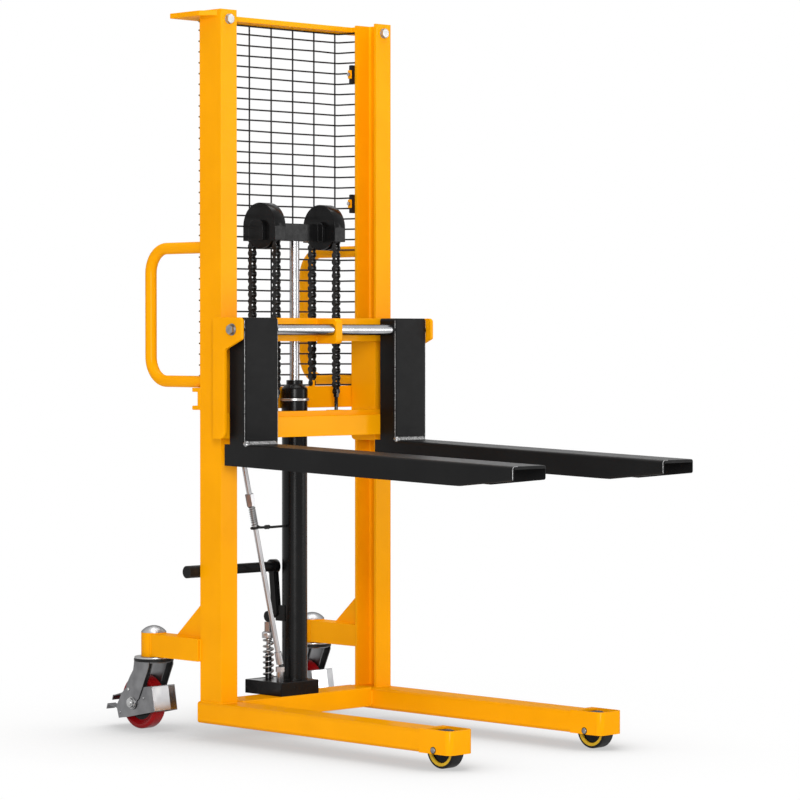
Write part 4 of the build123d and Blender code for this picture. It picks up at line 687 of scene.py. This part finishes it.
def caster_wheel(side):
    """Red tread with a dished red rim and a dark hub."""
    centre = on_side(side, CASTER_AXLE)
    shape = Shape()
    tread = [(-12, 50), (-13, 53), (-18.5, 61), (-20, 64.5)] + arc((-13, 68), 7, 180, 90, 6)
    shape.add(turned(mirrored(tread), centre, X, 72, closed=True), 0)
    hub = [(-20, 8.2), (-20, 18.4), (-19, 19.2), (-12.5, 23), (-11.5, 24), (-11.5, 50)]
    shape.add(turned(mirrored(hub), centre, X, 64, closed=True), 1)
    return shape


def wheels():
    for name, side in SIDES.items():
        piece = front_wheel(side).make("front_tyre_" + name, BLACK_TREAD, GOLD, BLACK)
        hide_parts("front_wheel_" + name)
        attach(piece, "front_wheel_" + name)
        piece = caster_wheel(side).make("caster_tyre_" + name, RED, BLACK)
        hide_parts("caster_wheel_" + name)
        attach(piece, "caster_wheel_" + name)


# Trim of the casters. Pairs are (Y, Z) from the axle, unless a comment says otherwise.

# Radius and rise
RIVET = (5.0, 2.6)
BRAKE_FACE = 42.0
BRAKE_RIVETS = ((-46, 16), (55, -31))
BRAKE_WEB = ((-92, -19), (-80, 51))
# Section of the bent plate, across and ahead of the web
BRAKE_PLATE = ((-40, 0), (40, 0), (40, 0.9), (14, 5), (-40, 0.9))
BRAKE_PLATE_PROUD = 2.6
BRAKE_PLATE_MARGIN = 2.0
BRAKE_LIPS = (((83, 14), (87, 0)), ((107, -12), (112, -27)))
# Along X
LIP_SPANS = ((-42, -13), (13, 42))
LIP_SHEET = 3.0
CHEEK_INSIDE = 42.6
CHEEK_SHEET = 2.8
CHEEK_EYE = 20.0
CHEEK_BACK = ((24, 28), (23, 47), (8, 72), (-7, 92), (-12, 120))
CHEEK_FRONT = ((-74, 120), (-74, 106), (-46, 45), (-30, 13))
CHEEK_RIVET = (14, 36)


def seal_ring(name, swivel):
    """Rubber ring between the swivel boss and the caster's fork."""
    seal = [(192, 50.5), (192, 54.4), (193, 55.4), (198.8, 55.4), (199.8, 54.4), (199.8, 50.5)]
    piece = Shape().add(turned(seal, swivel, Z, 64, closed=True)).make("seal_" + name, RUBBER)
    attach(piece, "caster_fork_" + name)


def cheek_plates(name, axle):
    """Outer cheeks on both sides of the wheel."""
    outline = arc((0, 0), CHEEK_EYE, 168, 352, 12) + list(CHEEK_BACK + CHEEK_FRONT)
    cheeks = Shape()
    for offset in (-CHEEK_INSIDE - CHEEK_SHEET, CHEEK_INSIDE):
        cheeks.add(slab(outline, axle + X * offset, Y, Z, CHEEK_SHEET, edge=0.5))
    piece = cheeks.make("cheek_plates_" + name, ZINC, sharp=30)
    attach(piece, "caster_fork_" + name)


def brake_plate(name, axle):
    """Bright bent plate on the front web of the foot brake."""
    low, high = (axle + Y * y + Z * z for y, z in BRAKE_WEB)
    rise = (high - low).normalized()
    ahead = X.cross(rise)
    origin = high + ahead * BRAKE_PLATE_PROUD - rise * BRAKE_PLATE_MARGIN
    length = (high - low).length - 2 * BRAKE_PLATE_MARGIN
    skin = slab(BRAKE_PLATE, origin, X, ahead, length, edge=0.3)
    piece = Shape().add(skin).make("brake_plate_" + name, PLATED, sharp=8)
    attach(piece, "caster_brake_" + name)


def brake_lips(name, axle):
    """Bent lips at the rear of the foot brake."""
    lips = Shape()
    for (y, z), (end_y, end_z) in BRAKE_LIPS:
        run = Vector((end_y - y, end_z - z))
        fall = (Y * run.x + Z * run.y).normalized()
        for near, far in LIP_SPANS:
            plate = [(near, 0), (far, 0), (far, run.length), (near, run.length)]
            lips.add(slab(plate, axle + Y * y + Z * z, X, fall, LIP_SHEET, edge=0.6))
    piece = lips.make("brake_lips_" + name, ZINC)
    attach(piece, "caster_brake_" + name)


def axle_nuts(name, axle):
    """Washer, nut and thread end on both cheeks, and a rivet above them."""
    washer = [(0, 15.4), (0.3, 16), (1.9, 16), (2.2, 15.6)]
    thread = [(8, 8.4), (10.2, 8.4), (11, 7.6)]
    nuts = Shape()
    for way in (-1, 1):
        face = axle + X * way * (CHEEK_INSIDE + CHEEK_SHEET)
        nuts.add(dome(face + Y * CHEEK_RIVET[0] + Z * CHEEK_RIVET[1], way * X, *RIVET))
        nuts.add(turned(washer, face, way * X, 32))
        nuts.add(hexagon_head(face + X * way * washer[-1][0], way * X, 24.6, 6.6))
        nuts.add(turned(thread, face, way * X, 24))
    piece = nuts.make("axle_nuts_" + name, STEEL, sharp=30)
    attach(piece, "caster_fork_" + name)


def brake_rivets(name, axle):
    rivets = Shape()
    for way in (-1, 1):
        for y, z in BRAKE_RIVETS:
            rivets.add(dome(axle + X * way * BRAKE_FACE + Y * y + Z * z, way * X, *RIVET))
    piece = rivets.make("brake_rivets_" + name, BOLT, sharp=40)
    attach(piece, "caster_brake_" + name)


def caster_trim():
    for name, side in SIDES.items():
        axle = on_side(side, CASTER_AXLE)
        seal_ring(name, on_side(side, CASTER_SWIVEL))
        cheek_plates(name, axle)
        brake_plate(name, axle)
        brake_lips(name, axle)
        axle_nuts(name, axle)
        brake_rivets(name, axle)


CAP_RADIUS = 35.0
CAP_RISE = 19.0
CAP_RIM = 2.0
CAP_STEPS = (1, 0.97, 0.92, 0.85, 0.75, 0.64, 0.52, 0.4, 0.28, 0.16, 0.04)


def caster_caps():
    """Low domes pressed on the swivel bosses."""
    bottom = span("caster_caps", 2)[0]
    rise = CAP_RISE - CAP_RIM
    ball = (CAP_RADIUS ** 2 + rise ** 2) / (2 * rise)
    profile = [(0, CAP_RADIUS)]
    for share in CAP_STEPS:
        radius = share * CAP_RADIUS
        profile.append((CAP_RISE - ball + sqrt(ball ** 2 - radius ** 2), radius))
    shape = Shape()
    for side in SIDES.values():
        swivel = on_side(side, CASTER_SWIVEL)
        shape.add(turned(profile, swivel + Z * bottom, Z, 64))
    piece = shape.make("cap_domes", CAP)
    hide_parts("caster_caps")
    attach(piece, "frame")


# Bolts

# X and Z
STOP_BOLT = (292.0, 1954.0)
STOP_WASHER = 2.0
SHAFT_END = Vector((353, -136.5, 1113))
# From the shaft's end to both faces of the washer
SHAFT_WASHER = (10.0, 13.0)
AXLE_END = 44.0
# X and Z
PLUGS = ((22, 122), (-52, 122))
PLUG_Y = -46.0


def frame_bolts():
    """Stop bolts in the columns' front flanges, and the clamps' small bolts."""
    washer = [(0, 13.6), (1.8, 13.6), (STOP_WASHER, 13.2), (STOP_WASHER, 8)]
    shank = [(-1, 8), (29, 8), (30, 7)]
    shape = Shape()
    for side in SIDES.values():
        x, z = side * STOP_BOLT[0], STOP_BOLT[1]
        shape.add(turned(washer, (x, -COLUMN_BACK, z), -Y, 36))
        shape.add(hexagon_head((x, -COLUMN_BACK - STOP_WASHER, z), -Y, 24, 8.6))
        shape.add(turned(shank, (x, -COLUMN_BACK, z), Y, 24))
        shape.add(hexagon_head((x, -COLUMN_BACK + COLUMN_FLANGE, z), Y, 24, 12.8))
        for height in CLAMP_HEIGHTS:
            spot = (side * CLAMP_TAB[0], sum(CLAMP_Y) / 2, height)
            shape.add(hexagon_head(spot, -side * X, 9.6, 4.8))
    piece = shape.make("frame_bolt_heads", STEEL, sharp=30)
    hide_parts("frame_bolts")
    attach(piece, "frame")


def shaft_bolts():
    """Bolt with a washer at each end of the fork shaft."""
    near, far = SHAFT_WASHER
    washer = [(near, 15.4), (near + 0.4, 16), (far - 0.4, 16), (far, 15.6)]
    shape = Shape()
    for side in SIDES.values():
        centre = on_side(side, SHAFT_END)
        way = side * X
        shape.add(turned([(0, 7.4), (near, 7.4)], centre, way, 24))
        shape.add(turned(washer, centre, way, 40))
        shape.add(hexagon_head(centre + way * far, way, 24, 9))
    piece = shape.make("shaft_bolt_heads", BOLT, sharp=30)
    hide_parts("shaft_bolts")
    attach(piece, "carriage")


def axle_bolts():
    """Front axles with a black ring that is painted shade of the recess round the head, a round head
    and a spacer at both ends.
    """
    # Black ring just wider than the head: painted shade of the recess round it.
    ring = [(AXLE_END, 8.8), (44.3, 9.2), (45, 9.2), (45.3, 8.9)]
    spacer = [(20.5, 8), (21, 8.5), (37.6, 8.5), (38, 8.1)]
    shape = Shape()
    for side in SIDES.values():
        centre = on_side(side, FRONT_AXLE)
        shape.add(turned([(-AXLE_END, 6), (AXLE_END, 6)], centre, X, 24))
        for way in (-1, 1):
            shape.add(turned(ring, centre, way * X, 32), 1)
            shape.add(dome(centre + X * way * 45.2, way * X, 7.6, 2.8, 32))
            shape.add(turned(spacer, centre, way * X, 28))
    piece = shape.make("front_axle_bolts", BOLT, BLACK, sharp=30)
    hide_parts("front_axles")
    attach(piece, "frame")


def pump_plugs():
    plug = [(0, 4.6), (0.8, 4.6), (1.3, 4.1), (1.3, 2.4), (0.4, 2.2)]
    shape = Shape()
    for x, z in PLUGS:
        shape.add(turned(plug, (x, PLUG_Y, z), -Y, 20))
    piece = shape.make("pump_plugs", BLACK, sharp=30)
    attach(piece, "frame")


# Cylinder head

def gland():
    """Turned head with a bright nut ring round its groove."""
    bottom = span("cylinder_gland", 2)[0]
    centre = (0, LIFT_Y, bottom)
    shape = Shape()
    body = [(0, 13.6), (0, 35.6), (0.9, 36.5), (34.4, 36.5), (35.2, 35.8), (42.8, 35.8),
            (43.6, 36.8), (66.5, 37), (69.6, 36.2), (72, 34.4), (80.2, 25.2), (81, 24.2),
            (81, 23.4), (81.8, 23), (91.6, 23), (93, 21.6), (93, 15.4), (92, 13.6)]
    shape.add(turned(body, centre, Z, 56, closed=True), 0)
    ring = [(35.6, 34), (35.6, 40), (36.4, 40.9), (41.6, 40.9), (42.4, 40), (42.4, 34)]
    shape.add(turned(ring, centre, Z, 56, closed=True), 1)
    piece = shape.make("gland_body", GLOSS_BLACK, STEEL)
    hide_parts("cylinder_gland")
    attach(piece, "frame")


# Weld beads

WELD_PITCH = 5.0
WELD_STEPS = 3
WELD_TIP = 0.06
WELD_ANGLES = [2 * pi * turn / 8 for turn in range(8)]


def ripple(angle):
    """Share of a bead's radius along its ripples."""
    return 0.84 + 0.16 * abs(sin(angle))


def bead(start, end, radius):
    """Rippled weld bead on a straight run, with rounded ends."""
    start, end = Vector(start), Vector(end)
    axis, u, v = basis(end - start)
    length = (end - start).length
    count = max(6, ceil(WELD_STEPS * length / WELD_PITCH))
    loops = []
    for step in range(count + 1):
        at = length * step / count
        wave = ripple(pi * at / WELD_PITCH)
        tip = sqrt(min(1.0, max(WELD_TIP, min(at, length - at) / radius)))
        loops.append([start + axis * at + (u * cos(a) + v * sin(a)) * radius * wave * tip
                      for a in WELD_ANGLES])
    return rings(loops)


def bead_ring(centre, axis, reach, radius):
    """Rippled weld bead round a tube."""
    axis, u, v = basis(axis)
    centre = Vector(centre)
    count = ceil(2 * WELD_STEPS * pi * reach / WELD_PITCH)
    loops = []
    for step in range(count):
        angle = 2 * pi * step / count
        way = u * cos(angle) + v * sin(angle)
        size = radius * ripple(pi * step / WELD_STEPS)
        loops.append([centre + way * (reach + size * cos(a)) - axis * size * sin(a)
                      for a in WELD_ANGLES])
    return rings(loops, closed=True)


BEAD = 3.6
THIN_BEAD = 2.8
GUSSET_BEAD = 2.6
LEG_TOP = 98.0
LEG_INNER = 242.0
BASE_BEAM_HALF = 48.0
BASE_BEAM_SIDE = (50.0, 92.0)
BASE_BEAM_TOP = 97.5
ARM_IN = 272.0
ARM_HALF = 29.0
ARM_LOW = 207.0
ARM_TOP = 269.0
BOSS_FRONT = 244.4
GUSSET_HALF = 4.0
GUSSET_TOP = 370.0
GUSSET_BACK = 160.0
HANDLE_X = 292.0
HANDLE_ENDS = (1338.0, 970.75)
HANDLE_RADIUS = 16.0
REAR_BEAM = (894.0, 954.5)
REAR_BEAM_SIDE = (896.0, 952.0)
PLATE_LOW = 1962.0
PLATE_FRONT = -30.0
CYLINDER_FOOT = 138.0
CYLINDER_RADIUS = 35.5


def frame_welds():
    shape = Shape()
    for side in SIDES.values():
        near, far = side * COLUMN_IN, side * COLUMN_OUT
        for y in (-COLUMN_BACK, COLUMN_BACK):
            shape.add(bead((near, y, LEG_TOP), (far, y, LEG_TOP), BEAD))
        shape.add(bead((far, -COLUMN_BACK, LEG_TOP), (far, COLUMN_BACK, LEG_TOP), BEAD))
        inner = side * LEG_INNER
        low, high = BASE_BEAM_SIDE
        for y in (-BASE_BEAM_HALF, BASE_BEAM_HALF):
            shape.add(bead((inner, y, low), (inner, y, high), BEAD))
        run = BASE_BEAM_HALF - 2
        shape.add(bead((inner, -run, BASE_BEAM_TOP), (inner, run, BASE_BEAM_TOP), 3.2))
        arm_in, arm_x = side * ARM_IN, side * CASTER_SWIVEL.x
        for z in (ARM_LOW, ARM_TOP):
            shape.add(bead((arm_in, COLUMN_BACK, z), (far, COLUMN_BACK, z), BEAD))
        for x in (arm_in, far):
            shape.add(bead((x, COLUMN_BACK, ARM_LOW), (x, COLUMN_BACK, ARM_TOP), BEAD))
        for x in (arm_x - GUSSET_HALF, arm_x + GUSSET_HALF):
            shape.add(bead((x, COLUMN_BACK, ARM_TOP + 2), (x, COLUMN_BACK, GUSSET_TOP), GUSSET_BEAD))
            shape.add(bead((x, COLUMN_BACK + 2, ARM_TOP), (x, GUSSET_BACK, ARM_TOP), GUSSET_BEAD))
        for x in (arm_x - ARM_HALF, arm_x + ARM_HALF):
            shape.add(bead((x, BOSS_FRONT, ARM_LOW + 1), (x, BOSS_FRONT, ARM_TOP - 1), THIN_BEAD))
        for z in HANDLE_ENDS:
            shape.add(bead_ring((side * HANDLE_X, COLUMN_BACK, z), Y, HANDLE_RADIUS, THIN_BEAD))
        for z in REAR_BEAM:
            shape.add(bead((near, COLUMN_BACK, z), (far, COLUMN_BACK, z), THIN_BEAD))
        low, high = REAR_BEAM_SIDE
        shape.add(bead((near, COLUMN_BACK, low), (near, COLUMN_BACK, high), THIN_BEAD))
        shape.add(bead((far, PLATE_FRONT, PLATE_LOW), (far, COLUMN_BACK, PLATE_LOW), THIN_BEAD))
        shape.add(bead((near, COLUMN_BACK, PLATE_LOW), (far, COLUMN_BACK, PLATE_LOW), THIN_BEAD))
    piece = shape.make("frame_weld_beads", YELLOW, sharp=60)
    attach(piece, "frame")
    ring = bead_ring((0, LIFT_Y, CYLINDER_FOOT), Z, CYLINDER_RADIUS, 3.0)
    piece = Shape().add(ring).make("cylinder_weld", BLACK, sharp=60)
    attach(piece, "frame")


CARRIAGE_OUT = 353.0
CARRIAGE_IN = 247.0
BARS = ((819.0, 889.0), (1082.0, 1145.0))
BAR_FRONT = -77.0
BAR_BACK = -57.0
FRONT_BEAM_END = 257.0
FRONT_BEAM = (820.0, 874.0)
LUG_SIDES = (2.0, 26.0)
LUG = (1083.0, 1140.0)


def carriage_welds():
    shape = Shape()
    for side in SIDES.values():
        for low, high in BARS:
            x = side * CARRIAGE_OUT
            shape.add(bead((x, BAR_FRONT, low), (x, BAR_FRONT, high), 3.2))
            x = side * CARRIAGE_IN
            shape.add(bead((x, BAR_BACK, low), (x, BAR_BACK, high - 6), 3.0))
        x = side * FRONT_BEAM_END
        shape.add(bead((x, BAR_FRONT, FRONT_BEAM[0]), (x, BAR_FRONT, FRONT_BEAM[1]), 3.0))
    for x in LUG_SIDES:
        shape.add(bead((x, BAR_FRONT, LUG[0]), (x, BAR_FRONT, LUG[1]), THIN_BEAD))
    piece = shape.make("carriage_weld_beads", YELLOW, sharp=60)
    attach(piece, "carriage")


# Weld beads and painted highlight lines on the forks

FORK_X = {"left": -275.0, "right": 289.0}
FORK_HALF = 62.0
FORK_FRONT = -157.0
FORK_TOP = 804.0
FORK_TIP = -1145.0
FORK_TIP_TOP = 774.7
FORK_TIP_LOW = 741.0
FORK_FILLET = 8.0
FORK_BEAD = 9.0
TIP_HIGHLIGHT_SINK = 0.4
TIP_HIGHLIGHT_RADIUS = 1.0
HIGHLIGHT_LINE_INSET = 2.4
HIGHLIGHT_LINE_RADIUS = 0.8


def fork_trim():
    """Bead at the foot of each upright, its light grey partly bare weld and partly painted
    reflection, and thin grey tubes as painted highlights on its corners and along the tip's rounded
    edge.
    """
    for name, x in FORK_X.items():
        run = FORK_HALF - 6
        foot = FORK_TOP + 1
        shape = Shape()
        shape.add(bead((x - run, FORK_FRONT, foot), (x + run, FORK_FRONT, foot), FORK_BEAD))
        shape.add(dome((x - run + 2, FORK_FRONT, foot), Vector((-0.3, -1, 1)), 10.5, 9.5))
        # Painted highlight: a thin grey tube along the tip's rounded edge.
        edge = x - FORK_HALF
        tip = FORK_TIP + TIP_HIGHLIGHT_SINK
        path = [(edge + TIP_HIGHLIGHT_SINK, tip, FORK_TIP_LOW)]
        path += [(edge + FORK_FILLET + u, tip, FORK_TIP_TOP - FORK_FILLET + v)
                 for u, v in arc((0, 0), FORK_FILLET - TIP_HIGHLIGHT_SINK, 180, 90, 5)]
        path.append((edge + 18, tip, FORK_TIP_TOP - TIP_HIGHLIGHT_SINK))
        shape.add(tube(path, TIP_HIGHLIGHT_RADIUS))
        # Painted highlights: thin grey tubes up both front corners of the upright.
        top = span("fork_" + name, 2)[1]
        for side in (-1, 1):
            corner = Vector((x + side * (FORK_HALF - HIGHLIGHT_LINE_INSET), FORK_FRONT + HIGHLIGHT_LINE_INSET, 0))
            shape.add(tube([corner + Z * (FORK_TOP + 9), corner + Z * (top - 6)], HIGHLIGHT_LINE_RADIUS))
        piece = shape.make("fork_weld_and_painted_highlights_" + name, WELD, sharp=60)
        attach(piece, "fork_" + name)


# CAD nodes that stay

KEPT = {
    YELLOW: ["mast_left", "mast_right", "leg_left", "leg_right", "top_plate", "rear_cross_beam",
             "base_cross_beam", "caster_arms", "handles", "carriage_sides", "carriage_bars",
             "roller_plates", "front_beam", "shaft_lug"],
    FORK_BLACK: ["fork_left", "fork_right"],
    BLACK: ["head_crossbar", "pulley_covers", "pump_block", "pump_lug", "pump_pedal",
            "release_bracket", "pulley_left", "pulley_right"],
    GLOSS_BLACK: ["lift_cylinder"],
    CHROME: ["piston_rod", "fork_shaft"],
    ROD: ["release_rod", "pump_plunger", "release_valve"],
    ZINC: ["caster_fork_left", "caster_fork_right", "caster_brake_left", "caster_brake_right"],
    STEEL: ["caster_plates", "roller_lower_left", "roller_lower_right", "roller_upper_left",
            "roller_upper_right"],
    CHAIN: ["chain_anchor_bolts"],
    RUBBER: ["pedal_grip", "release_lever"],
}
# Width of the broken edges
EDGES = {"mast_left": 2.0, "mast_right": 2.0, "top_plate": 1.5, "rear_cross_beam": 2.0,
         "base_cross_beam": 3.0, "caster_arms": 2.5, "leg_left": 1.5, "leg_right": 1.5,
         "carriage_sides": 1.5, "carriage_bars": 1.5, "roller_plates": 1.2, "front_beam": 1.5,
         "shaft_lug": 1.5, "head_crossbar": 1.5, "pulley_covers": 1.5, "pump_block": 1.0,
         "pump_lug": 0.8, "pump_pedal": 0.8, "pump_plunger": 0.6, "release_valve": 0.6,
         "release_lever": 0.8, "release_bracket": 0.8, "chain_anchor_bolts": 0.6,
         "caster_plates": 0.8, "caster_fork_left": 0.8, "caster_fork_right": 0.8,
         "caster_brake_left": 0.8, "caster_brake_right": 0.8}
EDGE_STEPS = 2
EDGE_ANGLE = radians(40)
FLAT_ANGLE = radians(0.5)
JOIN_GAP = 0.00001


def soften(node, width):
    """Broken edges on a CAD node, by modifiers alone."""
    weld = node.modifiers.new("join", "WELD")
    weld.merge_threshold = JOIN_GAP
    flat = node.modifiers.new("flat_faces", "DECIMATE")
    flat.decimate_type = "DISSOLVE"
    flat.angle_limit = FLAT_ANGLE
    edge = node.modifiers.new("edges", "BEVEL")
    edge.width = width / 1000
    edge.segments = EDGE_STEPS
    edge.limit_method = "ANGLE"
    edge.angle_limit = EDGE_ANGLE
    edge.harden_normals = True
    edge.use_clamp_overlap = True


def dress():
    for material, names in KEPT.items():
        for name in names:
            node = NODES[name]
            if not node.material_slots:
                node.data.materials.append(material)
            for slot in node.material_slots:
                slot.material = material
            if name in EDGES:
                soften(node, EDGES[name])


# Stage, light and camera, in metres

FLOOR_HALF = 30.0
FLOOR_GREY = (0.92, 0.92, 0.92, 1)
WHITE = (1, 1, 1, 1)
# Painted contact shadow from ambient occlusion: its reach, and the open sky from which it starts and
# to which it ends
PAINTED_SHADOW_REACH = 0.7
PAINTED_SHADOW_SKY = (0.60, 0.99)
PAINTED_SHADOW_DARKEST = 0.58
# The floor's own shading goes out with distance
FADE_REACH = (0.8, 1.9)
FADE_START = 0.88
SKY_LIGHT = 0.45


def emptied(owner):
    """Nodes and links of a material or world, with nothing in them."""
    owner.use_nodes = True
    owner.node_tree.nodes.clear()
    return owner.node_tree.nodes, owner.node_tree.links


def seen_directly(nodes, links):
    """One for rays from the camera, from gloss and from glass."""
    path = nodes.new("ShaderNodeLightPath")
    first = nodes.new("ShaderNodeMath")
    first.operation = "MAXIMUM"
    second = nodes.new("ShaderNodeMath")
    second.operation = "MAXIMUM"
    links.new(path.outputs["Is Camera Ray"], first.inputs[0])
    links.new(path.outputs["Is Glossy Ray"], first.inputs[1])
    links.new(first.outputs["Value"], second.inputs[0])
    links.new(path.outputs["Is Transmission Ray"], second.inputs[1])
    return second.outputs["Value"]


def floor():
    """Pale matt floor that shows white away from the object; near it a painted contact shadow from
    ambient occlusion darkens the white glow, with a little of its real shadow mixed in.
    """
    half = FLOOR_HALF
    mesh = bpy.data.meshes.new("floor")
    corners = [(-half, -half, 0), (half, -half, 0), (half, half, 0), (-half, half, 0)]
    mesh.from_pydata(corners, [], [(0, 1, 2, 3)])
    piece = bpy.data.objects.new("floor", mesh)
    bpy.context.scene.collection.objects.link(piece)
    material = bpy.data.materials.new("floor")
    nodes, links = emptied(material)
    output = nodes.new("ShaderNodeOutputMaterial")
    mix = nodes.new("ShaderNodeMixShader")
    matt = nodes.new("ShaderNodeBsdfDiffuse")
    matt.inputs["Color"].default_value = FLOOR_GREY
    # Painted shadow: ambient occlusion sets the white glow's strength, darker near the object.
    near = nodes.new("ShaderNodeAmbientOcclusion")
    near.inputs["Distance"].default_value = PAINTED_SHADOW_REACH
    painted_shadow = nodes.new("ShaderNodeMapRange")
    painted_shadow.inputs["From Min"].default_value = PAINTED_SHADOW_SKY[0]
    painted_shadow.inputs["From Max"].default_value = PAINTED_SHADOW_SKY[1]
    painted_shadow.inputs["To Min"].default_value = PAINTED_SHADOW_DARKEST
    links.new(near.outputs["AO"], painted_shadow.inputs["Value"])
    glow = nodes.new("ShaderNodeEmission")
    glow.inputs["Color"].default_value = WHITE
    links.new(painted_shadow.outputs["Result"], glow.inputs["Strength"])
    source = nodes.new("ShaderNodeTexCoord")
    length = nodes.new("ShaderNodeVectorMath")
    length.operation = "LENGTH"
    links.new(source.outputs["Object"], length.inputs[0])
    fade = nodes.new("ShaderNodeMapRange")
    fade.interpolation_type = "SMOOTHSTEP"
    fade.inputs["From Min"].default_value = FADE_REACH[0]
    fade.inputs["From Max"].default_value = FADE_REACH[1]
    fade.inputs["To Min"].default_value = FADE_START
    links.new(length.outputs["Value"], fade.inputs["Value"])
    share = nodes.new("ShaderNodeMath")
    share.operation = "MULTIPLY"
    links.new(fade.outputs["Result"], share.inputs[0])
    links.new(seen_directly(nodes, links), share.inputs[1])
    links.new(share.outputs["Value"], mix.inputs["Fac"])
    links.new(matt.outputs["BSDF"], mix.inputs[1])
    links.new(glow.outputs["Emission"], mix.inputs[2])
    links.new(mix.outputs["Shader"], output.inputs["Surface"])
    mesh.materials.append(material)


def background(nodes, strength):
    node = nodes.new("ShaderNodeBackground")
    node.inputs["Color"].default_value = WHITE
    node.inputs["Strength"].default_value = strength
    return node.outputs["Background"]


def world():
    """Soft light from all round, which looks white by itself and in gloss."""
    surroundings = bpy.data.worlds.new("studio")
    bpy.context.scene.world = surroundings
    nodes, links = emptied(surroundings)
    output = nodes.new("ShaderNodeOutputWorld")
    mix = nodes.new("ShaderNodeMixShader")
    links.new(seen_directly(nodes, links), mix.inputs["Fac"])
    links.new(background(nodes, SKY_LIGHT), mix.inputs[1])
    links.new(background(nodes, 1.0), mix.inputs[2])
    links.new(mix.outputs["Shader"], output.inputs["Surface"])


def lamp(name, position, target, size, power):
    data = bpy.data.lights.new(name, "AREA")
    data.shape = "RECTANGLE"
    data.size, data.size_y = size
    data.energy = power
    piece = bpy.data.objects.new(name, data)
    piece.location = position
    piece.rotation_euler = (Vector(target) - Vector(position)).to_track_quat("-Z", "Y").to_euler()
    bpy.context.scene.collection.objects.link(piece)


def lights():
    lamp("main", (-6.5, -7.0, 2.8), target=(0, 0, 1.1), size=(1.5, 4.4), power=640)
    lamp("front", (4.2, -4.4, 1.5), target=(0, 0, 0.9), size=(1.0, 2.6), power=40)
    lamp("top", (0.2, 0.2, 4.4), target=(0, 0, 0.6), size=(3.0, 3.0), power=112)


def camera():
    """Camera as fitted to the photograph."""
    data = bpy.data.cameras.new("camera")
    data.lens = 141.48
    data.sensor_width = 36.0
    data.clip_end = 100.0
    piece = bpy.data.objects.new("camera", data)
    piece.location = place((-5939.9, -6450.25, 1090.4))
    piece.rotation_euler = (radians(88.87), 0, radians(-44.51))
    bpy.context.scene.collection.objects.link(piece)
    bpy.context.scene.camera = piece


def main():
    bpy.context.scene.view_settings.view_transform = "Standard"
    camera()
    dress()
    guard_mesh()
    clamps()
    chains()
    springs()
    rod_guide()
    valve_stem()
    wheels()
    caster_trim()
    caster_caps()
    frame_bolts()
    shaft_bolts()
    axle_bolts()
    pump_plugs()
    gland()
    frame_welds()
    carriage_welds()
    fork_trim()
    floor()
    world()
    lights()


main()
